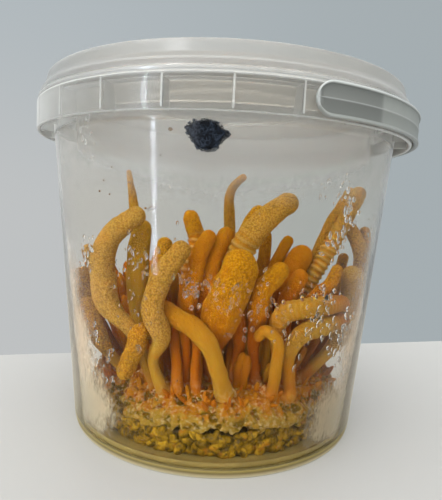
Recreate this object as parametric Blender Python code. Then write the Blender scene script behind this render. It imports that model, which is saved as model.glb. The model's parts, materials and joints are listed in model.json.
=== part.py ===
"""A bunch of orange cordyceps fruit bodies on its grain cake, in the clear lidded tub it grew in.

Run with: blender --background --python part.py, or from Blender's text editor.
The tub stands on z = 0 with its axis on the z axis. -Y is its front and +X its right.
Sizes below are millimetres unless a name says otherwise; the model itself is in metres.
"""
import math

import bmesh
import bpy
import numpy as np
from mathutils import Matrix

MM = 0.001
TURN_STEPS = 48
INNER_TURN_STEPS = 36

# Tub, a moulding of clear polypropylene
TUB_BASE_RADIUS = 52.75
TUB_WALL_RADIUS = 61.0
TUB_WALL_HEIGHT = 100.6
TUB_WALL = 1.0
FLOOR_UNDERSIDE = 1.4
FLOOR_TOP = 2.4
FOOT_WIDTH = 2.1
RIM_HEIGHT = 109.8
RIM_THICKNESS = 1.2
COLLAR_RADIUS = 66.5
COLLAR_BOTTOM = 100.6
COLLAR_WALL = 1.0
RIB_COUNT = 24
RIB_WIDTH = 0.8
RIB_PHASE_DEG = 1.5

# Lid, snapped over the rim
LID_BOTTOM = 110.1
LID_TOP = 118.3
LID_LIP_RADIUS = 66.2
LID_STEP_RADIUS = 65.2
LID_BAND_RADIUS = 64.1
LID_RIM_RADIUS = 63.3
LID_PANEL_TOP = 113.3
LID_PANEL_THICKNESS = 1.1
LID_PLUG_RADIUS = 59.3
LID_PLUG_BOTTOM = 104.4

# Bail handle, a flat band that lies round the right half of the collar
PIVOT_HEIGHT = 105.4
PIVOT_AZIMUTH_DEG = 22.5
HANDLE_INNER_RADIUS = 67.0
HANDLE_OUTER_RADIUS = 68.6
HANDLE_HALF_WIDTH = 4.4
HANDLE_STEPS = 24
PIN_RADIUS = 1.9
PIN_END = 67.8
SOCKET_RADIUS = 2.2
SOCKET_END = 68.1

# Breather hole in the front wall, and the wad stuffed through it
BREATHER_AZIMUTH_DEG = -4.2
BREATHER_HEIGHT = 95.8
BREATHER_HOLE_RADIUS = 3.6
PLUG_NECK_RADIUS = 3.2
PLUG_SIDES = 14

# Grain cake, mycelium mat and liquid
CAKE_RADIUS = 47.0
CAKE_TOP = 9.6
MAT_RADIUS = 46.4
MAT_BOTTOM = 10.0
MAT_SHOULDER = 17.5
MAT_DOME = 4.0
MAT_DOME_RADIUS = 38.0
LIQUID_INNER_RADIUS = 48.2
LIQUID_OUTER_RADIUS = 51.4
LIQUID_DEPTH = 1.1
REST_GAP = 0.3

# Fruit bodies: how they keep clear of each other, the wall, the mat and the lid
CLUB_SAMPLES = 20
CLUB_ROUNDS = 240
CLUB_GAP = 0.6
WALL_GAP = 0.7
MAT_GAP = 0.4
ROOT_LIMIT = 39.0

# Each row is one fruit body seen from the front: stem radius, club radius, where the club swells (share of
# the length), how blunt the tip is, how freely it gives way to its neighbours, and its route from the root.
FRONT_CLUBS = [
    # tall hook at the front left, close to the wall
    (1.6, 3.8, 0.42, 0.75, 0.15, [(-18, -35, 15), (-20, -38, 24.5), (-23, -41, 33.5), (-26, -41, 40),
                                  (-31, -40, 44), (-34.5, -38.5, 49.5), (-36, -38, 57), (-34.5, -38, 65),
                                  (-30, -37, 71), (-23.5, -36, 75.5)]),
    # club leaning right on a wavy stem, and its neighbour behind
    (1.6, 3.3, 0.42, 0.85, 0.15, [(-15, -38, 18), (-18.5, -43, 30.5), (-16.5, -45, 38.5), (-19, -46, 45),
                                  (-17.5, -46, 53), (-15, -45, 59.5), (-12.5, -43, 63), (-10, -41, 67)]),
    (1.5, 2.9, 0.45, 0.85, 0.4, [(-14.5, -28, 17.5), (-17, -30, 33.5), (-19.5, -32, 47), (-19, -33, 57),
                                 (-17, -32, 67.5)]),
    # warty club that droops over to the left
    (1.7, 2.8, 0.55, 0.85, 0.3, [(-23, -26, 15), (-20.5, -31, 26), (-17.5, -40, 37), (-19, -46, 42),
                                 (-22.5, -46, 37), (-25, -44.5, 32), (-27.5, -42.5, 25)]),
    # thick pale stem at the front whose club bows left
    (2.5, 3.1, 0.5, 0.85, 0.15, [(4, -39, 16.5), (1.5, -44, 28.5), (-2, -46, 38), (-6.5, -45, 42),
                                 (-11.5, -43, 44), (-17.5, -40, 47)]),
    # slim stem with a crook at its top
    (1.8, 1.8, 0.4, 0.9, 0.2, [(18.5, -37, 19), (19, -42, 30.5), (19, -43, 38), (15.5, -42, 41.5),
                               (12.5, -38, 38)]),
    # two clubs bent over to the right, the upper one ribbed
    (2.0, 3.1, 0.45, 0.8, 0.2, [(23.5, -30, 20), (19.5, -37, 35.5), (19.5, -40, 45), (24.5, -41, 48),
                                (31, -40, 48.5), (42, -31, 49)]),
    (1.9, 2.9, 0.5, 0.8, 0.2, [(25.5, -35, 19), (23, -39, 31), (25, -42, 39.5), (31.5, -41, 43.5),
                               (42.5, -30, 42.5)]),
    # the stoutest club, in the middle of the front
    (3.1, 5.7, 0.42, 0.92, 0.1, [(0.5, -28, 18.5), (-1, -34, 32), (0, -38, 40.5), (1.5, -41, 47),
                                 (4, -42, 53), (6, -42, 59), (7, -40, 65.5)]),
    # long club that reaches up to the right over a ringed neck, and one behind it
    (2.7, 4.2, 0.5, 0.8, 0.1, [(6.5, -20, 18.5), (2, -26, 36.5), (2.5, -30, 53), (6.5, -32, 65),
                               (11, -32, 71), (15.5, -31, 75.5), (20, -30, 79), (24.5, -29, 81.5)]),
    (2.3, 3.1, 0.5, 0.8, 0.4, [(10, -8, 17.5), (6, -14, 44.5), (7.5, -19, 61.5), (9.5, -21, 70),
                               (11.5, -20, 74), (14.5, -19, 78.5)]),
    # thin curved finger in the middle
    (2.3, 2.5, 0.5, 0.5, 0.3, [(4.5, 8, 20.5), (4.5, 4, 53), (3.5, 2, 72), (3, 1, 82), (5, 0, 86.5),
                               (9, -2, 90)]),
    # round head on a ringed neck
    (1.6, 2.8, 0.72, 0.95, 0.2, [(-11.5, -38, 15.5), (-11.5, -38, 31.5), (-11, -34, 45), (-10.5, -31, 54),
                                 (-9, -29, 61), (-7.5, -27, 67), (-9, -26, 71.5), (-10.5, -25, 76.5)]),
    # thin cone at the back left
    (2.0, 2.4, 0.4, 0.35, 0.3, [(-26, -4, 23), (-30.5, -2, 48.5), (-33, 2, 63.5), (-35, 4, 77.5),
                                (-37.5, 5, 90.5)]),
    # pale stout club behind the hook
    (1.9, 3.8, 0.45, 0.8, 0.4, [(-22.5, -22, 20), (-26, -26, 39), (-26.5, -28, 51), (-26.5, -28, 61),
                                (-25.5, -26, 72.5)]),
    # two clubs side by side left of the stoutest one
    (1.5, 2.8, 0.45, 0.85, 0.3, [(-9, -33, 18.5), (-8.5, -37, 34.5), (-7.5, -38, 49), (-5.5, -36, 59),
                                 (-4, -34, 64.5), (-2, -32, 70)]),
    (1.4, 3.1, 0.45, 0.85, 0.3, [(-5.5, -38, 16), (-6, -38, 33), (-4.5, -36, 49.5), (-1, -33, 59.5),
                                 (2, -31, 65), (4.5, -29, 70.5)]),
    # middle and right of the front, from behind the long club outwards
    (1.7, 2.4, 0.45, 0.8, 0.5, [(18, -10, 22), (16.5, -13, 45), (16.5, -13, 58), (17, -11, 70)]),
    (1.5, 2.3, 0.5, 0.8, 0.4, [(19.5, -16, 22), (19, -20, 46.5), (20, -21, 57.5), (22, -19, 63),
                               (25, -17, 68.5)]),
    (2.0, 4.3, 0.45, 0.85, 0.4, [(23, -18, 20), (22, -22, 43), (24.5, -24, 52.5), (28, -23, 59.5),
                                 (32.5, -21, 63.5)]),
    (1.7, 2.9, 0.45, 0.85, 0.4, [(25, -26, 18), (22, -31, 43), (24, -33, 52), (27.5, -32, 59)]),
    (1.8, 3.2, 0.45, 0.85, 0.25, [(14, -30, 18), (11.5, -36, 41.5), (13, -39, 51), (16.5, -39, 56.5),
                                  (21, -37, 61)]),
    # tall pair on the right, the front one ringed low down
    (2.4, 2.8, 0.6, 0.85, 0.15, [(28, -14, 20), (28.5, -20, 41.5), (30.5, -23, 53), (33.5, -23, 59),
                                 (37.5, -22, 65), (41, -21, 72), (44.5, -20, 79), (48.5, -18, 86.5)]),
    (2.2, 2.6, 0.5, 0.8, 0.3, [(32, -4, 20), (33.5, -10, 45), (35.5, -13, 60), (39, -12, 69.5),
                               (43.5, -10, 78), (48.5, -8, 86.5)]),
    # right-hand edge of the bunch
    (1.9, 2.7, 0.5, 0.8, 0.3, [(37, -10, 18), (47.5, -18, 45.5), (51, -17, 58), (49.5, -18, 65.5),
                               (47.5, -16, 70), (45.5, -14, 74)]),
    (1.7, 3.7, 0.45, 0.85, 0.2, [(29, -24, 17.5), (39, -31, 34.5), (45.5, -24.5, 45), (46, -25, 52),
                                 (43.5, -29, 60)]),
    (1.8, 2.2, 0.5, 0.8, 0.5, [(38, 2, 18), (52, -6, 49), (52.5, -14, 62), (52, -14, 73)]),
    (1.6, 2.1, 0.5, 0.85, 0.4, [(29, -17, 18), (28.5, -31, 44), (32, -34, 51.5), (36, -33, 55),
                                (39, -31, 61)]),
    (1.6, 2.3, 0.5, 0.8, 0.6, [(36, -3, 18), (45, -4, 46.5), (48.5, -4, 62)]),
    # left-hand edge of the bunch
    (1.9, 3.0, 0.5, 0.85, 0.4, [(-34.5, -12, 17), (-41, -16, 32), (-46, -18, 42.5), (-49, -17, 54.5)]),
    (1.7, 3.0, 0.5, 0.85, 0.4, [(-30.5, -22, 17), (-36, -28, 28), (-40.5, -29, 37), (-44, -28, 46)]),
    (1.8, 2.6, 0.5, 0.8, 0.5, [(-37, 2, 18.5), (-44, -4, 40), (-47.5, -8, 51.5), (-49.5, -9, 61.5)]),
    # small club in the shade between the stoutest one and its right-hand neighbour
    (1.7, 2.2, 0.5, 0.85, 0.5, [(7, -30, 18), (8, -33, 32), (9.5, -36, 43.5), (11.5, -35, 50.5)]),
]
# Rear half, in three rings: ring radius, how many, first and last azimuth, outward lean, height
REAR_RINGS = [
    (33.0, 10, 76.0, 284.0, 16.0, 34.0),
    (21.0, 6, 82.0, 278.0, 10.0, 37.0),
    (9.0, 4, 100.0, 330.0, 4.0, 36.0),
]
REAR_SEED = 5
REAR_RADIUS_RANGE = (2.9, 4.4)

# Share of a club's length at which its solid has a ring of corners
FINE_RINGS = (0.0, 0.15, 0.30, 0.45, 0.59, 0.72, 0.84, 0.94, 1.0)
PLAIN_RINGS = (0.0, 0.2, 0.42, 0.62, 0.8, 0.93, 1.0)
STOUT_RADIUS = 3.05
TIP_FLAT = 0.3

# Finishes: base colour with alpha, roughness
FINISHES = {
    "clear_plastic": ((0.86, 0.88, 0.87, 0.25), 0.12),
    "grey_plastic": ((0.42, 0.45, 0.43, 1.0), 0.42),
    "blue_wad": ((0.03, 0.05, 0.10, 1.0), 0.95),
    "grain": ((0.42, 0.36, 0.10, 1.0), 0.45),
    "mycelium": ((0.72, 0.55, 0.30, 1.0), 0.70),
    "liquid": ((0.55, 0.48, 0.12, 0.5), 0.05),
    "club_orange": ((0.68, 0.33, 0.05, 1.0), 0.55),
}


def clear_scene():
    for item in list(bpy.data.objects):
        bpy.data.objects.remove(item, do_unlink=True)


def finish(slot):
    """The Principled material of one finish, made once."""
    material = bpy.data.materials.get(slot)
    if material is None:
        colour, roughness = FINISHES[slot]
        material = bpy.data.materials.new(slot)
        material.use_nodes = True
        shader = material.node_tree.nodes["Principled BSDF"]
        shader.inputs["Base Color"].default_value = colour
        shader.inputs["Roughness"].default_value = roughness
        shader.inputs["Metallic"].default_value = 0.0
        shader.inputs["Alpha"].default_value = colour[3]
    return material


def add_object(name, data, slot=None):
    item = bpy.data.objects.new(name, data)
    bpy.context.scene.collection.objects.link(item)
    if slot:
        data.materials.append(finish(slot))
    return item


def mesh_object(name, bm, slot=None, sharp_deg=40.0):
    """A mesh object from a finished bmesh, faces outwards, shaded smooth but for its edges."""
    bmesh.ops.remove_doubles(bm, verts=bm.verts, dist=0.00001)
    bmesh.ops.recalc_face_normals(bm, faces=bm.faces)
    mesh = bpy.data.meshes.new(name)
    bm.to_mesh(mesh)
    bm.free()
    mesh.shade_smooth()
    mesh.set_sharp_from_angle(angle=math.radians(sharp_deg))
    return add_object(name, mesh, slot)


def guide(item):
    """A shape that only cuts or joins another one."""
    item.hide_render = True
    item.display_type = "WIRE"
    return item


def boolean(item, other, operation):
    modifier = item.modifiers.new(other.name, "BOOLEAN")
    modifier.operation = operation
    modifier.object = other


def direction(azimuth_deg):
    """Unit vector at an azimuth counted from the front, towards the right."""
    a = math.radians(azimuth_deg)
    return np.array([math.sin(a), -math.cos(a), 0.0])


def turned(outline, steps=TURN_STEPS, closed=False):
    """Spin an outline of (radius, height) points round the z axis."""
    bm = bmesh.new()
    verts = [bm.verts.new((r * MM, 0.0, z * MM)) for r, z in outline]
    edges = [bm.edges.new(pair) for pair in zip(verts[:-1], verts[1:])]
    if closed:
        edges.append(bm.edges.new((verts[-1], verts[0])))
    bmesh.ops.spin(bm, geom=verts + edges, cent=(0, 0, 0), axis=(0, 0, 1), angle=math.tau, steps=steps)
    return bm


def radial_frame(azimuth_deg, height):
    """Matrix whose z axis points outwards at an azimuth, from the tub's axis at a height."""
    out = direction(azimuth_deg)
    side = np.array([-out[1], out[0], 0.0])
    frame = Matrix.Identity(4)
    for row in range(3):
        frame[row][0] = side[row]
        frame[row][1] = (0.0, 0.0, 1.0)[row]
        frame[row][2] = out[row]
    frame[2][3] = height * MM
    return frame


def add_radial_cylinder(bm, azimuth_deg, height, radius, start, end, sides=16):
    """A cylinder that points outwards, from radius start to radius end."""
    move = radial_frame(azimuth_deg, height) @ Matrix.Translation((0, 0, (start + end) / 2 * MM))
    bmesh.ops.create_cone(bm, cap_ends=True, segments=sides, radius1=radius * MM, radius2=radius * MM,
                          depth=(end - start) * MM, matrix=move)


def tub_inner_radius(z):
    slope = (TUB_WALL_RADIUS - TUB_BASE_RADIUS) / TUB_WALL_HEIGHT
    return TUB_BASE_RADIUS - TUB_WALL + slope * z


def tub_outline():
    """Section of the tub from the axis under the floor, out and up, and back along the inside."""
    foot_outer = TUB_BASE_RADIUS - 0.4
    web_under = RIM_HEIGHT - RIM_THICKNESS
    collar_inner = COLLAR_RADIUS - COLLAR_WALL
    return [
        (0.0, FLOOR_UNDERSIDE),
        (foot_outer - FOOT_WIDTH - 0.6, FLOOR_UNDERSIDE),
        (foot_outer - FOOT_WIDTH, 0.0),
        (foot_outer, 0.0),
        (tub_inner_radius(FLOOR_TOP) + TUB_WALL, FLOOR_TOP),
        (TUB_WALL_RADIUS, TUB_WALL_HEIGHT),
        (tub_inner_radius(web_under) + TUB_WALL, web_under),
        (collar_inner, web_under),
        (collar_inner, COLLAR_BOTTOM),
        (COLLAR_RADIUS, COLLAR_BOTTOM),
        (COLLAR_RADIUS, RIM_HEIGHT - 0.4),
        (COLLAR_RADIUS - 0.4, RIM_HEIGHT),
        (tub_inner_radius(RIM_HEIGHT), RIM_HEIGHT),
        (tub_inner_radius(FLOOR_TOP), FLOOR_TOP),
        (0.0, FLOOR_TOP),
    ]


def add_rib(bm, azimuth_deg):
    """A thin radial plate between the wall and the collar, sunk a little into both."""
    inner = TUB_WALL_RADIUS - 0.25
    outer = COLLAR_RADIUS - 0.5
    low = COLLAR_BOTTOM + 0.8
    high = RIM_HEIGHT - 0.6
    size = Matrix.Diagonal((RIB_WIDTH * MM, (high - low) * MM, (outer - inner) * MM, 1.0))
    centre = Matrix.Translation((0, 0, (inner + outer) / 2 * MM))
    bmesh.ops.create_cube(bm, size=1.0, matrix=radial_frame(azimuth_deg, (low + high) / 2) @ centre @ size)


def make_tub():
    tub = mesh_object("tub", turned(tub_outline()), "clear_plastic")
    joined = bmesh.new()
    for k in range(RIB_COUNT):
        add_rib(joined, RIB_PHASE_DEG + k * 360.0 / RIB_COUNT)
    for azimuth in (PIVOT_AZIMUTH_DEG, PIVOT_AZIMUTH_DEG + 180.0):
        add_radial_cylinder(joined, azimuth, PIVOT_HEIGHT, PIN_RADIUS, COLLAR_RADIUS - 0.5, PIN_END, 12)
    boolean(tub, guide(mesh_object("ribs_and_pins", joined)), "UNION")
    hole = bmesh.new()
    add_radial_cylinder(hole, BREATHER_AZIMUTH_DEG, BREATHER_HEIGHT, BREATHER_HOLE_RADIUS,
                        TUB_WALL_RADIUS - 8.0, TUB_WALL_RADIUS + 3.0, 16)
    boolean(tub, guide(mesh_object("breather_hole", hole)), "DIFFERENCE")


def make_lid():
    under = LID_PANEL_TOP - LID_PANEL_THICKNESS
    outline = [
        (0.0, LID_PANEL_TOP + 0.3),
        (LID_PLUG_RADIUS - 0.3, LID_PANEL_TOP),
        (LID_RIM_RADIUS - 2.1, LID_TOP - 0.5),
        (LID_RIM_RADIUS - 1.3, LID_TOP),
        (LID_RIM_RADIUS, LID_TOP),
        (LID_BAND_RADIUS, LID_TOP - 3.5),
        (LID_STEP_RADIUS, LID_TOP - 4.9),
        (LID_LIP_RADIUS, LID_BOTTOM + 0.8),
        (LID_LIP_RADIUS, LID_BOTTOM),
        (LID_PLUG_RADIUS + 0.6, LID_BOTTOM),
        (LID_PLUG_RADIUS, LID_PLUG_BOTTOM),
        (LID_PLUG_RADIUS - 1.1, LID_PLUG_BOTTOM),
        (LID_PLUG_RADIUS - 1.7, under),
        (0.0, under + 0.3),
    ]
    mesh_object("lid", turned(outline), "clear_plastic")


def handle_columns():
    """Azimuth and half height of the band along its length, with a round end past each pivot."""
    end_arc = math.degrees(HANDLE_HALF_WIDTH / HANDLE_INNER_RADIUS)
    ends = [(end_arc * math.sin(math.radians(t)), math.cos(math.radians(t))) for t in (75, 50, 25)]
    first = [(PIVOT_AZIMUTH_DEG - shift, HANDLE_HALF_WIDTH * height) for shift, height in ends]
    last = [(PIVOT_AZIMUTH_DEG + 180.0 + shift, HANDLE_HALF_WIDTH * height)
            for shift, height in reversed(ends)]
    middle = [(PIVOT_AZIMUTH_DEG + 180.0 * k / HANDLE_STEPS, HANDLE_HALF_WIDTH)
              for k in range(HANDLE_STEPS + 1)]
    return first + middle + last


def make_handle():
    """The band, with its origin on the pivot axis, and a blind socket inside each end."""
    bm = bmesh.new()
    columns = []
    for azimuth, half in handle_columns():
        out = direction(azimuth)
        corners = [(HANDLE_INNER_RADIUS, -half), (HANDLE_INNER_RADIUS, half),
                   (HANDLE_OUTER_RADIUS, half), (HANDLE_OUTER_RADIUS, -half)]
        columns.append([bm.verts.new((out[0] * r * MM, out[1] * r * MM, z * MM)) for r, z in corners])
    for here, there in zip(columns[:-1], columns[1:]):
        for k in range(4):
            bm.faces.new((here[k], here[(k + 1) % 4], there[(k + 1) % 4], there[k]))
    bm.faces.new(columns[0])
    bm.faces.new(columns[-1][::-1])
    handle = mesh_object("handle", bm, "grey_plastic")
    handle.location = (0.0, 0.0, PIVOT_HEIGHT * MM)
    sockets = bmesh.new()
    for azimuth in (PIVOT_AZIMUTH_DEG, PIVOT_AZIMUTH_DEG + 180.0):
        add_radial_cylinder(sockets, azimuth, PIVOT_HEIGHT, SOCKET_RADIUS,
                            HANDLE_INNER_RADIUS - 1.0, SOCKET_END, 12)
    boolean(handle, guide(mesh_object("handle_sockets", sockets)), "DIFFERENCE")


def make_breather_plug():
    """A wad with a wide part inside the wall, a neck in the hole and a low bulge outside."""
    wall = tub_inner_radius(BREATHER_HEIGHT) + TUB_WALL / 2
    neck = PLUG_NECK_RADIUS
    stations = [(-3.3, 1.6, 1.2), (-2.9, 3.9, 2.5), (-2.0, 5.4, 3.4), (-1.1, 5.2, 3.3), (-0.95, neck, neck),
                (0.7, neck, neck), (1.15, 2.5, 2.5), (1.35, 1.2, 1.2)]
    frame = radial_frame(BREATHER_AZIMUTH_DEG, BREATHER_HEIGHT)
    bm = bmesh.new()
    rings = []
    for depth, wide, high in stations:
        ring = bmesh.ops.create_circle(bm, segments=PLUG_SIDES, radius=MM, matrix=frame
                                       @ Matrix.Translation((0, 0, (wall + depth) * MM))
                                       @ Matrix.Diagonal((wide, high, 1.0, 1.0)))["verts"]
        rings.append(ring)
    for lower, upper in zip(rings[:-1], rings[1:]):
        for k in range(PLUG_SIDES):
            n = (k + 1) % PLUG_SIDES
            bm.faces.new((lower[k], lower[n], upper[n], upper[k]))
    bm.faces.new(rings[0])
    bm.faces.new(rings[-1])
    mesh_object("breather_plug", bm, "blue_wad")


def mat_height(x, y):
    """Height of the mat's top at a place, a low dome."""
    share = (x * x + y * y) / MAT_DOME_RADIUS ** 2
    return MAT_SHOULDER + MAT_DOME * np.clip(1.0 - share, -0.35, 1.0)


def lumpy(bm, amount, lobes):
    """Push the side of a turned piece in and out with a few lobes; the axis stays put."""
    for vert in bm.verts:
        radius = math.hypot(vert.co.x, vert.co.y)
        if radius > 0.03:
            a = math.atan2(vert.co.y, vert.co.x)
            h = vert.co.z / MM
            wave = math.sin(lobes * a + h) + 0.6 * math.sin((2 * lobes + 3) * a - 0.7 * h)
            k = 1.0 + amount * MM / radius * wave
            vert.co.x *= k
            vert.co.y *= k


def make_grain_cake():
    low = FLOOR_TOP + REST_GAP
    outline = [(0.0, low), (CAKE_RADIUS - 1.2, low), (CAKE_RADIUS, low + 2.3), (CAKE_RADIUS - 0.7, CAKE_TOP),
               (0.0, CAKE_TOP)]
    bm = turned(outline, INNER_TURN_STEPS)
    lumpy(bm, 0.35, 7)
    mesh_object("grain_cake", bm, "grain")


def make_mycelium_mat():
    outline = [(0.0, MAT_BOTTOM), (MAT_RADIUS - 1.4, MAT_BOTTOM), (MAT_RADIUS, MAT_BOTTOM + 2.0),
               (MAT_RADIUS - 0.6, MAT_BOTTOM + 4.4), (MAT_RADIUS - 3.0, 0.0), (MAT_DOME_RADIUS, 0.0),
               (MAT_DOME_RADIUS * 2 / 3, 0.0), (MAT_DOME_RADIUS / 3, 0.0), (0.0, 0.0)]
    bm = turned(outline, INNER_TURN_STEPS)
    lumpy(bm, 0.35, 6)
    for vert in bm.verts:
        if vert.co.z < MAT_BOTTOM * MM / 2:
            vert.co.z = float(mat_height(vert.co.x / MM, vert.co.y / MM)) * MM
    mesh_object("mycelium_mat", bm, "mycelium")


def make_culture_liquid():
    low = FLOOR_TOP + REST_GAP
    high = low + LIQUID_DEPTH
    outline = [(LIQUID_INNER_RADIUS, low), (LIQUID_OUTER_RADIUS, low), (LIQUID_OUTER_RADIUS, high),
               (LIQUID_INNER_RADIUS, high)]
    mesh_object("culture_liquid", turned(outline, INNER_TURN_STEPS, closed=True), "liquid")


def smooth_route(points, count):
    """Catmull-Rom curve through the points, read at equal steps of its length."""
    p = np.asarray(points, float)
    p = np.vstack([2 * p[0] - p[1], p, 2 * p[-1] - p[-2]])
    t = np.linspace(0, 1, 25)[:-1, None]
    parts = [b + 0.5 * t * (c - a + t * (2 * a - 5 * b + 4 * c - d + t * (3 * b - a - 3 * c + d)))
             for a, b, c, d in zip(p[:-3], p[1:-2], p[2:-1], p[3:])]
    curve = np.vstack(parts + [p[-2][None]])
    along = arc_lengths(curve)
    return read_along(curve, along, np.linspace(0, along[-1], count))


def arc_lengths(path):
    return np.concatenate([[0.0], np.cumsum(np.linalg.norm(np.diff(path, axis=0), axis=1))])


def read_along(path, along, wanted):
    return np.stack([np.interp(wanted, along, path[:, k]) for k in range(3)], axis=-1)


def girth(along, stem, club, swell, tip):
    """Radius along a fruit body: a slim stem, a smooth swelling, a taper and a round tip."""
    total = along[-1]
    share = along / total
    k = np.clip((share - swell + 0.18) / 0.36, 0.0, 1.0)
    radius = stem + (club - stem) * k * k * (3.0 - 2.0 * k)
    radius = radius * (1.0 - (1.0 - tip) * np.clip((share - 0.55) / 0.45, 0.0, 1.0) ** 1.5)
    end = club * tip * 1.15
    v = np.clip((along - (total - end)) / end, 0.0, 1.0)
    return radius * np.sqrt(np.clip(1.0 - v * v, 0.0, 1.0))


def rear_clubs():
    """Rows for the hidden half: rings of roots, each club leaning out and swaying to one side."""
    draw = np.random.default_rng(REAR_SEED)
    rows = []
    for ring, count, first, last, lean, height in REAR_RINGS:
        for k in range(count):
            out = direction(first + (last - first) * k / (count - 1) + draw.uniform(-5, 5))
            side = np.array([out[1], -out[0], 0.0]) * draw.uniform(-6, 6)
            root = ring + draw.uniform(-2, 2)
            rise = height + draw.uniform(-5, 4)
            reach = lean * draw.uniform(0.5, 1.15)
            droop = draw.uniform(0.05, 0.3)
            club = draw.uniform(*REAR_RADIUS_RANGE)
            route = []
            for t in (0.0, 0.25, 0.5, 0.75, 1.0):
                place = out * (root + reach * (t ** 1.3 - 0.3 * t ** 4)) + side * math.sin(2.6 * t)
                route.append((place[0], place[1], MAT_SHOULDER + rise * (t - droop * t ** 4)))
            rows.append((club * 0.6, club, 0.48, 0.84, 0.8, route))
    return rows


def push_apart(points, first, second, need, share, shape):
    """Half of what each pair lacks of its distance, shared out and evened along each club."""
    gap = points[first] - points[second]
    distance = np.sqrt((gap * gap).sum(1)) + 1e-9
    step = gap * (0.5 * np.maximum(need - distance, 0.0) / distance)[:, None]
    push = np.stack([np.bincount(first, step[:, k] * share, len(points))
                     - np.bincount(second, step[:, k] * (1.0 - share), len(points))
                     for k in range(3)], axis=-1)
    push = push.reshape(shape)
    for _ in range(2):
        padded = np.concatenate([push[:, :1], push, push[:, -1:]], axis=1)
        push = 0.25 * padded[:, :-2] + 0.5 * padded[:, 1:-1] + 0.25 * padded[:, 2:]
    return push


def keep_inside(paths, radii):
    """Hold the clubs inside the wall and above the mat, with their roots on it."""
    reach = np.hypot(paths[..., 0], paths[..., 1]) + 1e-9
    limit = tub_inner_radius(paths[..., 2]) - radii - WALL_GAP
    paths[..., :2] *= np.minimum(1.0, limit / reach)[..., None]
    steps = np.linalg.norm(np.diff(paths, axis=1), axis=2)
    climb = 0.9 * np.concatenate([np.zeros((len(paths), 1)), np.cumsum(steps, axis=1)], axis=1)
    floor = mat_height(paths[..., 0], paths[..., 1]) + np.minimum(radii, climb) + MAT_GAP
    over_mat = np.hypot(paths[..., 0], paths[..., 1]) < MAT_RADIUS - 1.4
    paths[..., 2] = np.where(over_mat, np.maximum(paths[..., 2], floor), paths[..., 2])
    root = np.hypot(paths[:, 0, 0], paths[:, 0, 1])
    paths[:, 0, :2] *= np.minimum(1.0, ROOT_LIMIT / root)[:, None]
    paths[:, 0, 2] = root_heights(paths, radii[:, 0])


def root_heights(paths, radii):
    """Height at which the rim of each club's root end just clears the mat."""
    ahead = paths[:, 1] - paths[:, 0]
    ahead /= np.linalg.norm(ahead, axis=1)[:, None]
    side = np.cross(ahead, (1.0, 0.0, 0.0))
    side /= np.linalg.norm(side, axis=1)[:, None]
    other = np.cross(ahead, side)
    turn = np.linspace(0.0, math.tau, 8, endpoint=False)[:, None, None]
    rim = radii[:, None] * (np.cos(turn) * side + np.sin(turn) * other)
    ground = mat_height(paths[:, 0, 0] + rim[..., 0], paths[:, 0, 1] + rim[..., 1])
    return (ground - rim[..., 2]).max(axis=0) + MAT_GAP


def rooted(route):
    """The route with its first point set down on the mat."""
    points = np.array(route, float)
    points[0, 2] = mat_height(points[0, 0], points[0, 1]) + MAT_GAP
    return points


def settle(rows):
    """Let the clubs give way to each other until none touch; returns each one's path and radii."""
    paths = np.stack([smooth_route(rooted(row[5]), CLUB_SAMPLES) for row in rows])
    radii = np.stack([girth(arc_lengths(path), *row[:4]) for path, row in zip(paths, rows)])
    radii = np.maximum(radii, 0.6)
    owner = np.repeat(np.arange(len(rows)), CLUB_SAMPLES)
    size = radii.reshape(-1)
    yields = np.repeat(np.array([row[4] for row in rows]), CLUB_SAMPLES)
    for turn in range(CLUB_ROUNDS):
        points = paths.reshape(-1, 3)
        if turn % 20 == 0:
            square = (points * points).sum(1)
            apart = square[:, None] + square[None] - 2.0 * points @ points.T
            near = size[:, None] + size[None] + CLUB_GAP + 3.0
            first, second = np.nonzero(np.triu((apart < near ** 2) & (owner[:, None] != owner[None])))
            need = size[first] + size[second] + CLUB_GAP
            share = yields[first] / (yields[first] + yields[second])
        paths = paths + push_apart(points, first, second, need, share, paths.shape)
        keep_inside(paths, radii)
    return paths


def make_club(name, path, row, rings, sides_level):
    """A closed tube along the path, its radius set at every ring."""
    stem, club, swell, tip = row[:4]
    along = arc_lengths(path)
    wanted = np.array(rings) * along[-1]
    places = read_along(path, along, wanted)
    radii = np.maximum(girth(wanted, stem, club, swell, tip), TIP_FLAT * club * tip)
    curve = bpy.data.curves.new(name, "CURVE")
    curve.dimensions = "3D"
    curve.bevel_depth = MM
    curve.bevel_resolution = sides_level
    curve.use_fill_caps = True
    spline = curve.splines.new("POLY")
    spline.points.add(len(places) - 1)
    for point, place, radius in zip(spline.points, places, radii):
        point.co = (*(place * MM), 1.0)
        point.radius = radius
    spline.use_smooth = True
    add_object(name, curve, "club_orange")


def make_clubs():
    rows = FRONT_CLUBS + rear_clubs()
    for number, (row, path) in enumerate(zip(rows, settle(rows)), start=1):
        in_front = number <= len(FRONT_CLUBS)
        stout = in_front and row[1] > STOUT_RADIUS
        make_club(f"club_{number:02d}", path, row, FINE_RINGS if in_front else PLAIN_RINGS, 2 if stout else 1)


def main():
    clear_scene()
    make_tub()
    make_lid()
    make_handle()
    make_breather_plug()
    make_grain_cake()
    make_mycelium_mat()
    make_culture_liquid()
    make_clubs()


main()
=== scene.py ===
"""A bunch of cordyceps fruit bodies in its clear growing tub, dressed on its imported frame.

Run it in Blender as a script. Lengths in the code are millimetres unless a name says otherwise; the
properties and the finished meshes are in metres. The tub stands on z = 0, and -Y is its front.
"""
import json
import math
from itertools import product

import bpy
import numpy as np
from bpy.props import FloatProperty, FloatVectorProperty, IntProperty, PointerProperty
from mathutils import Matrix, Vector


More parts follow.
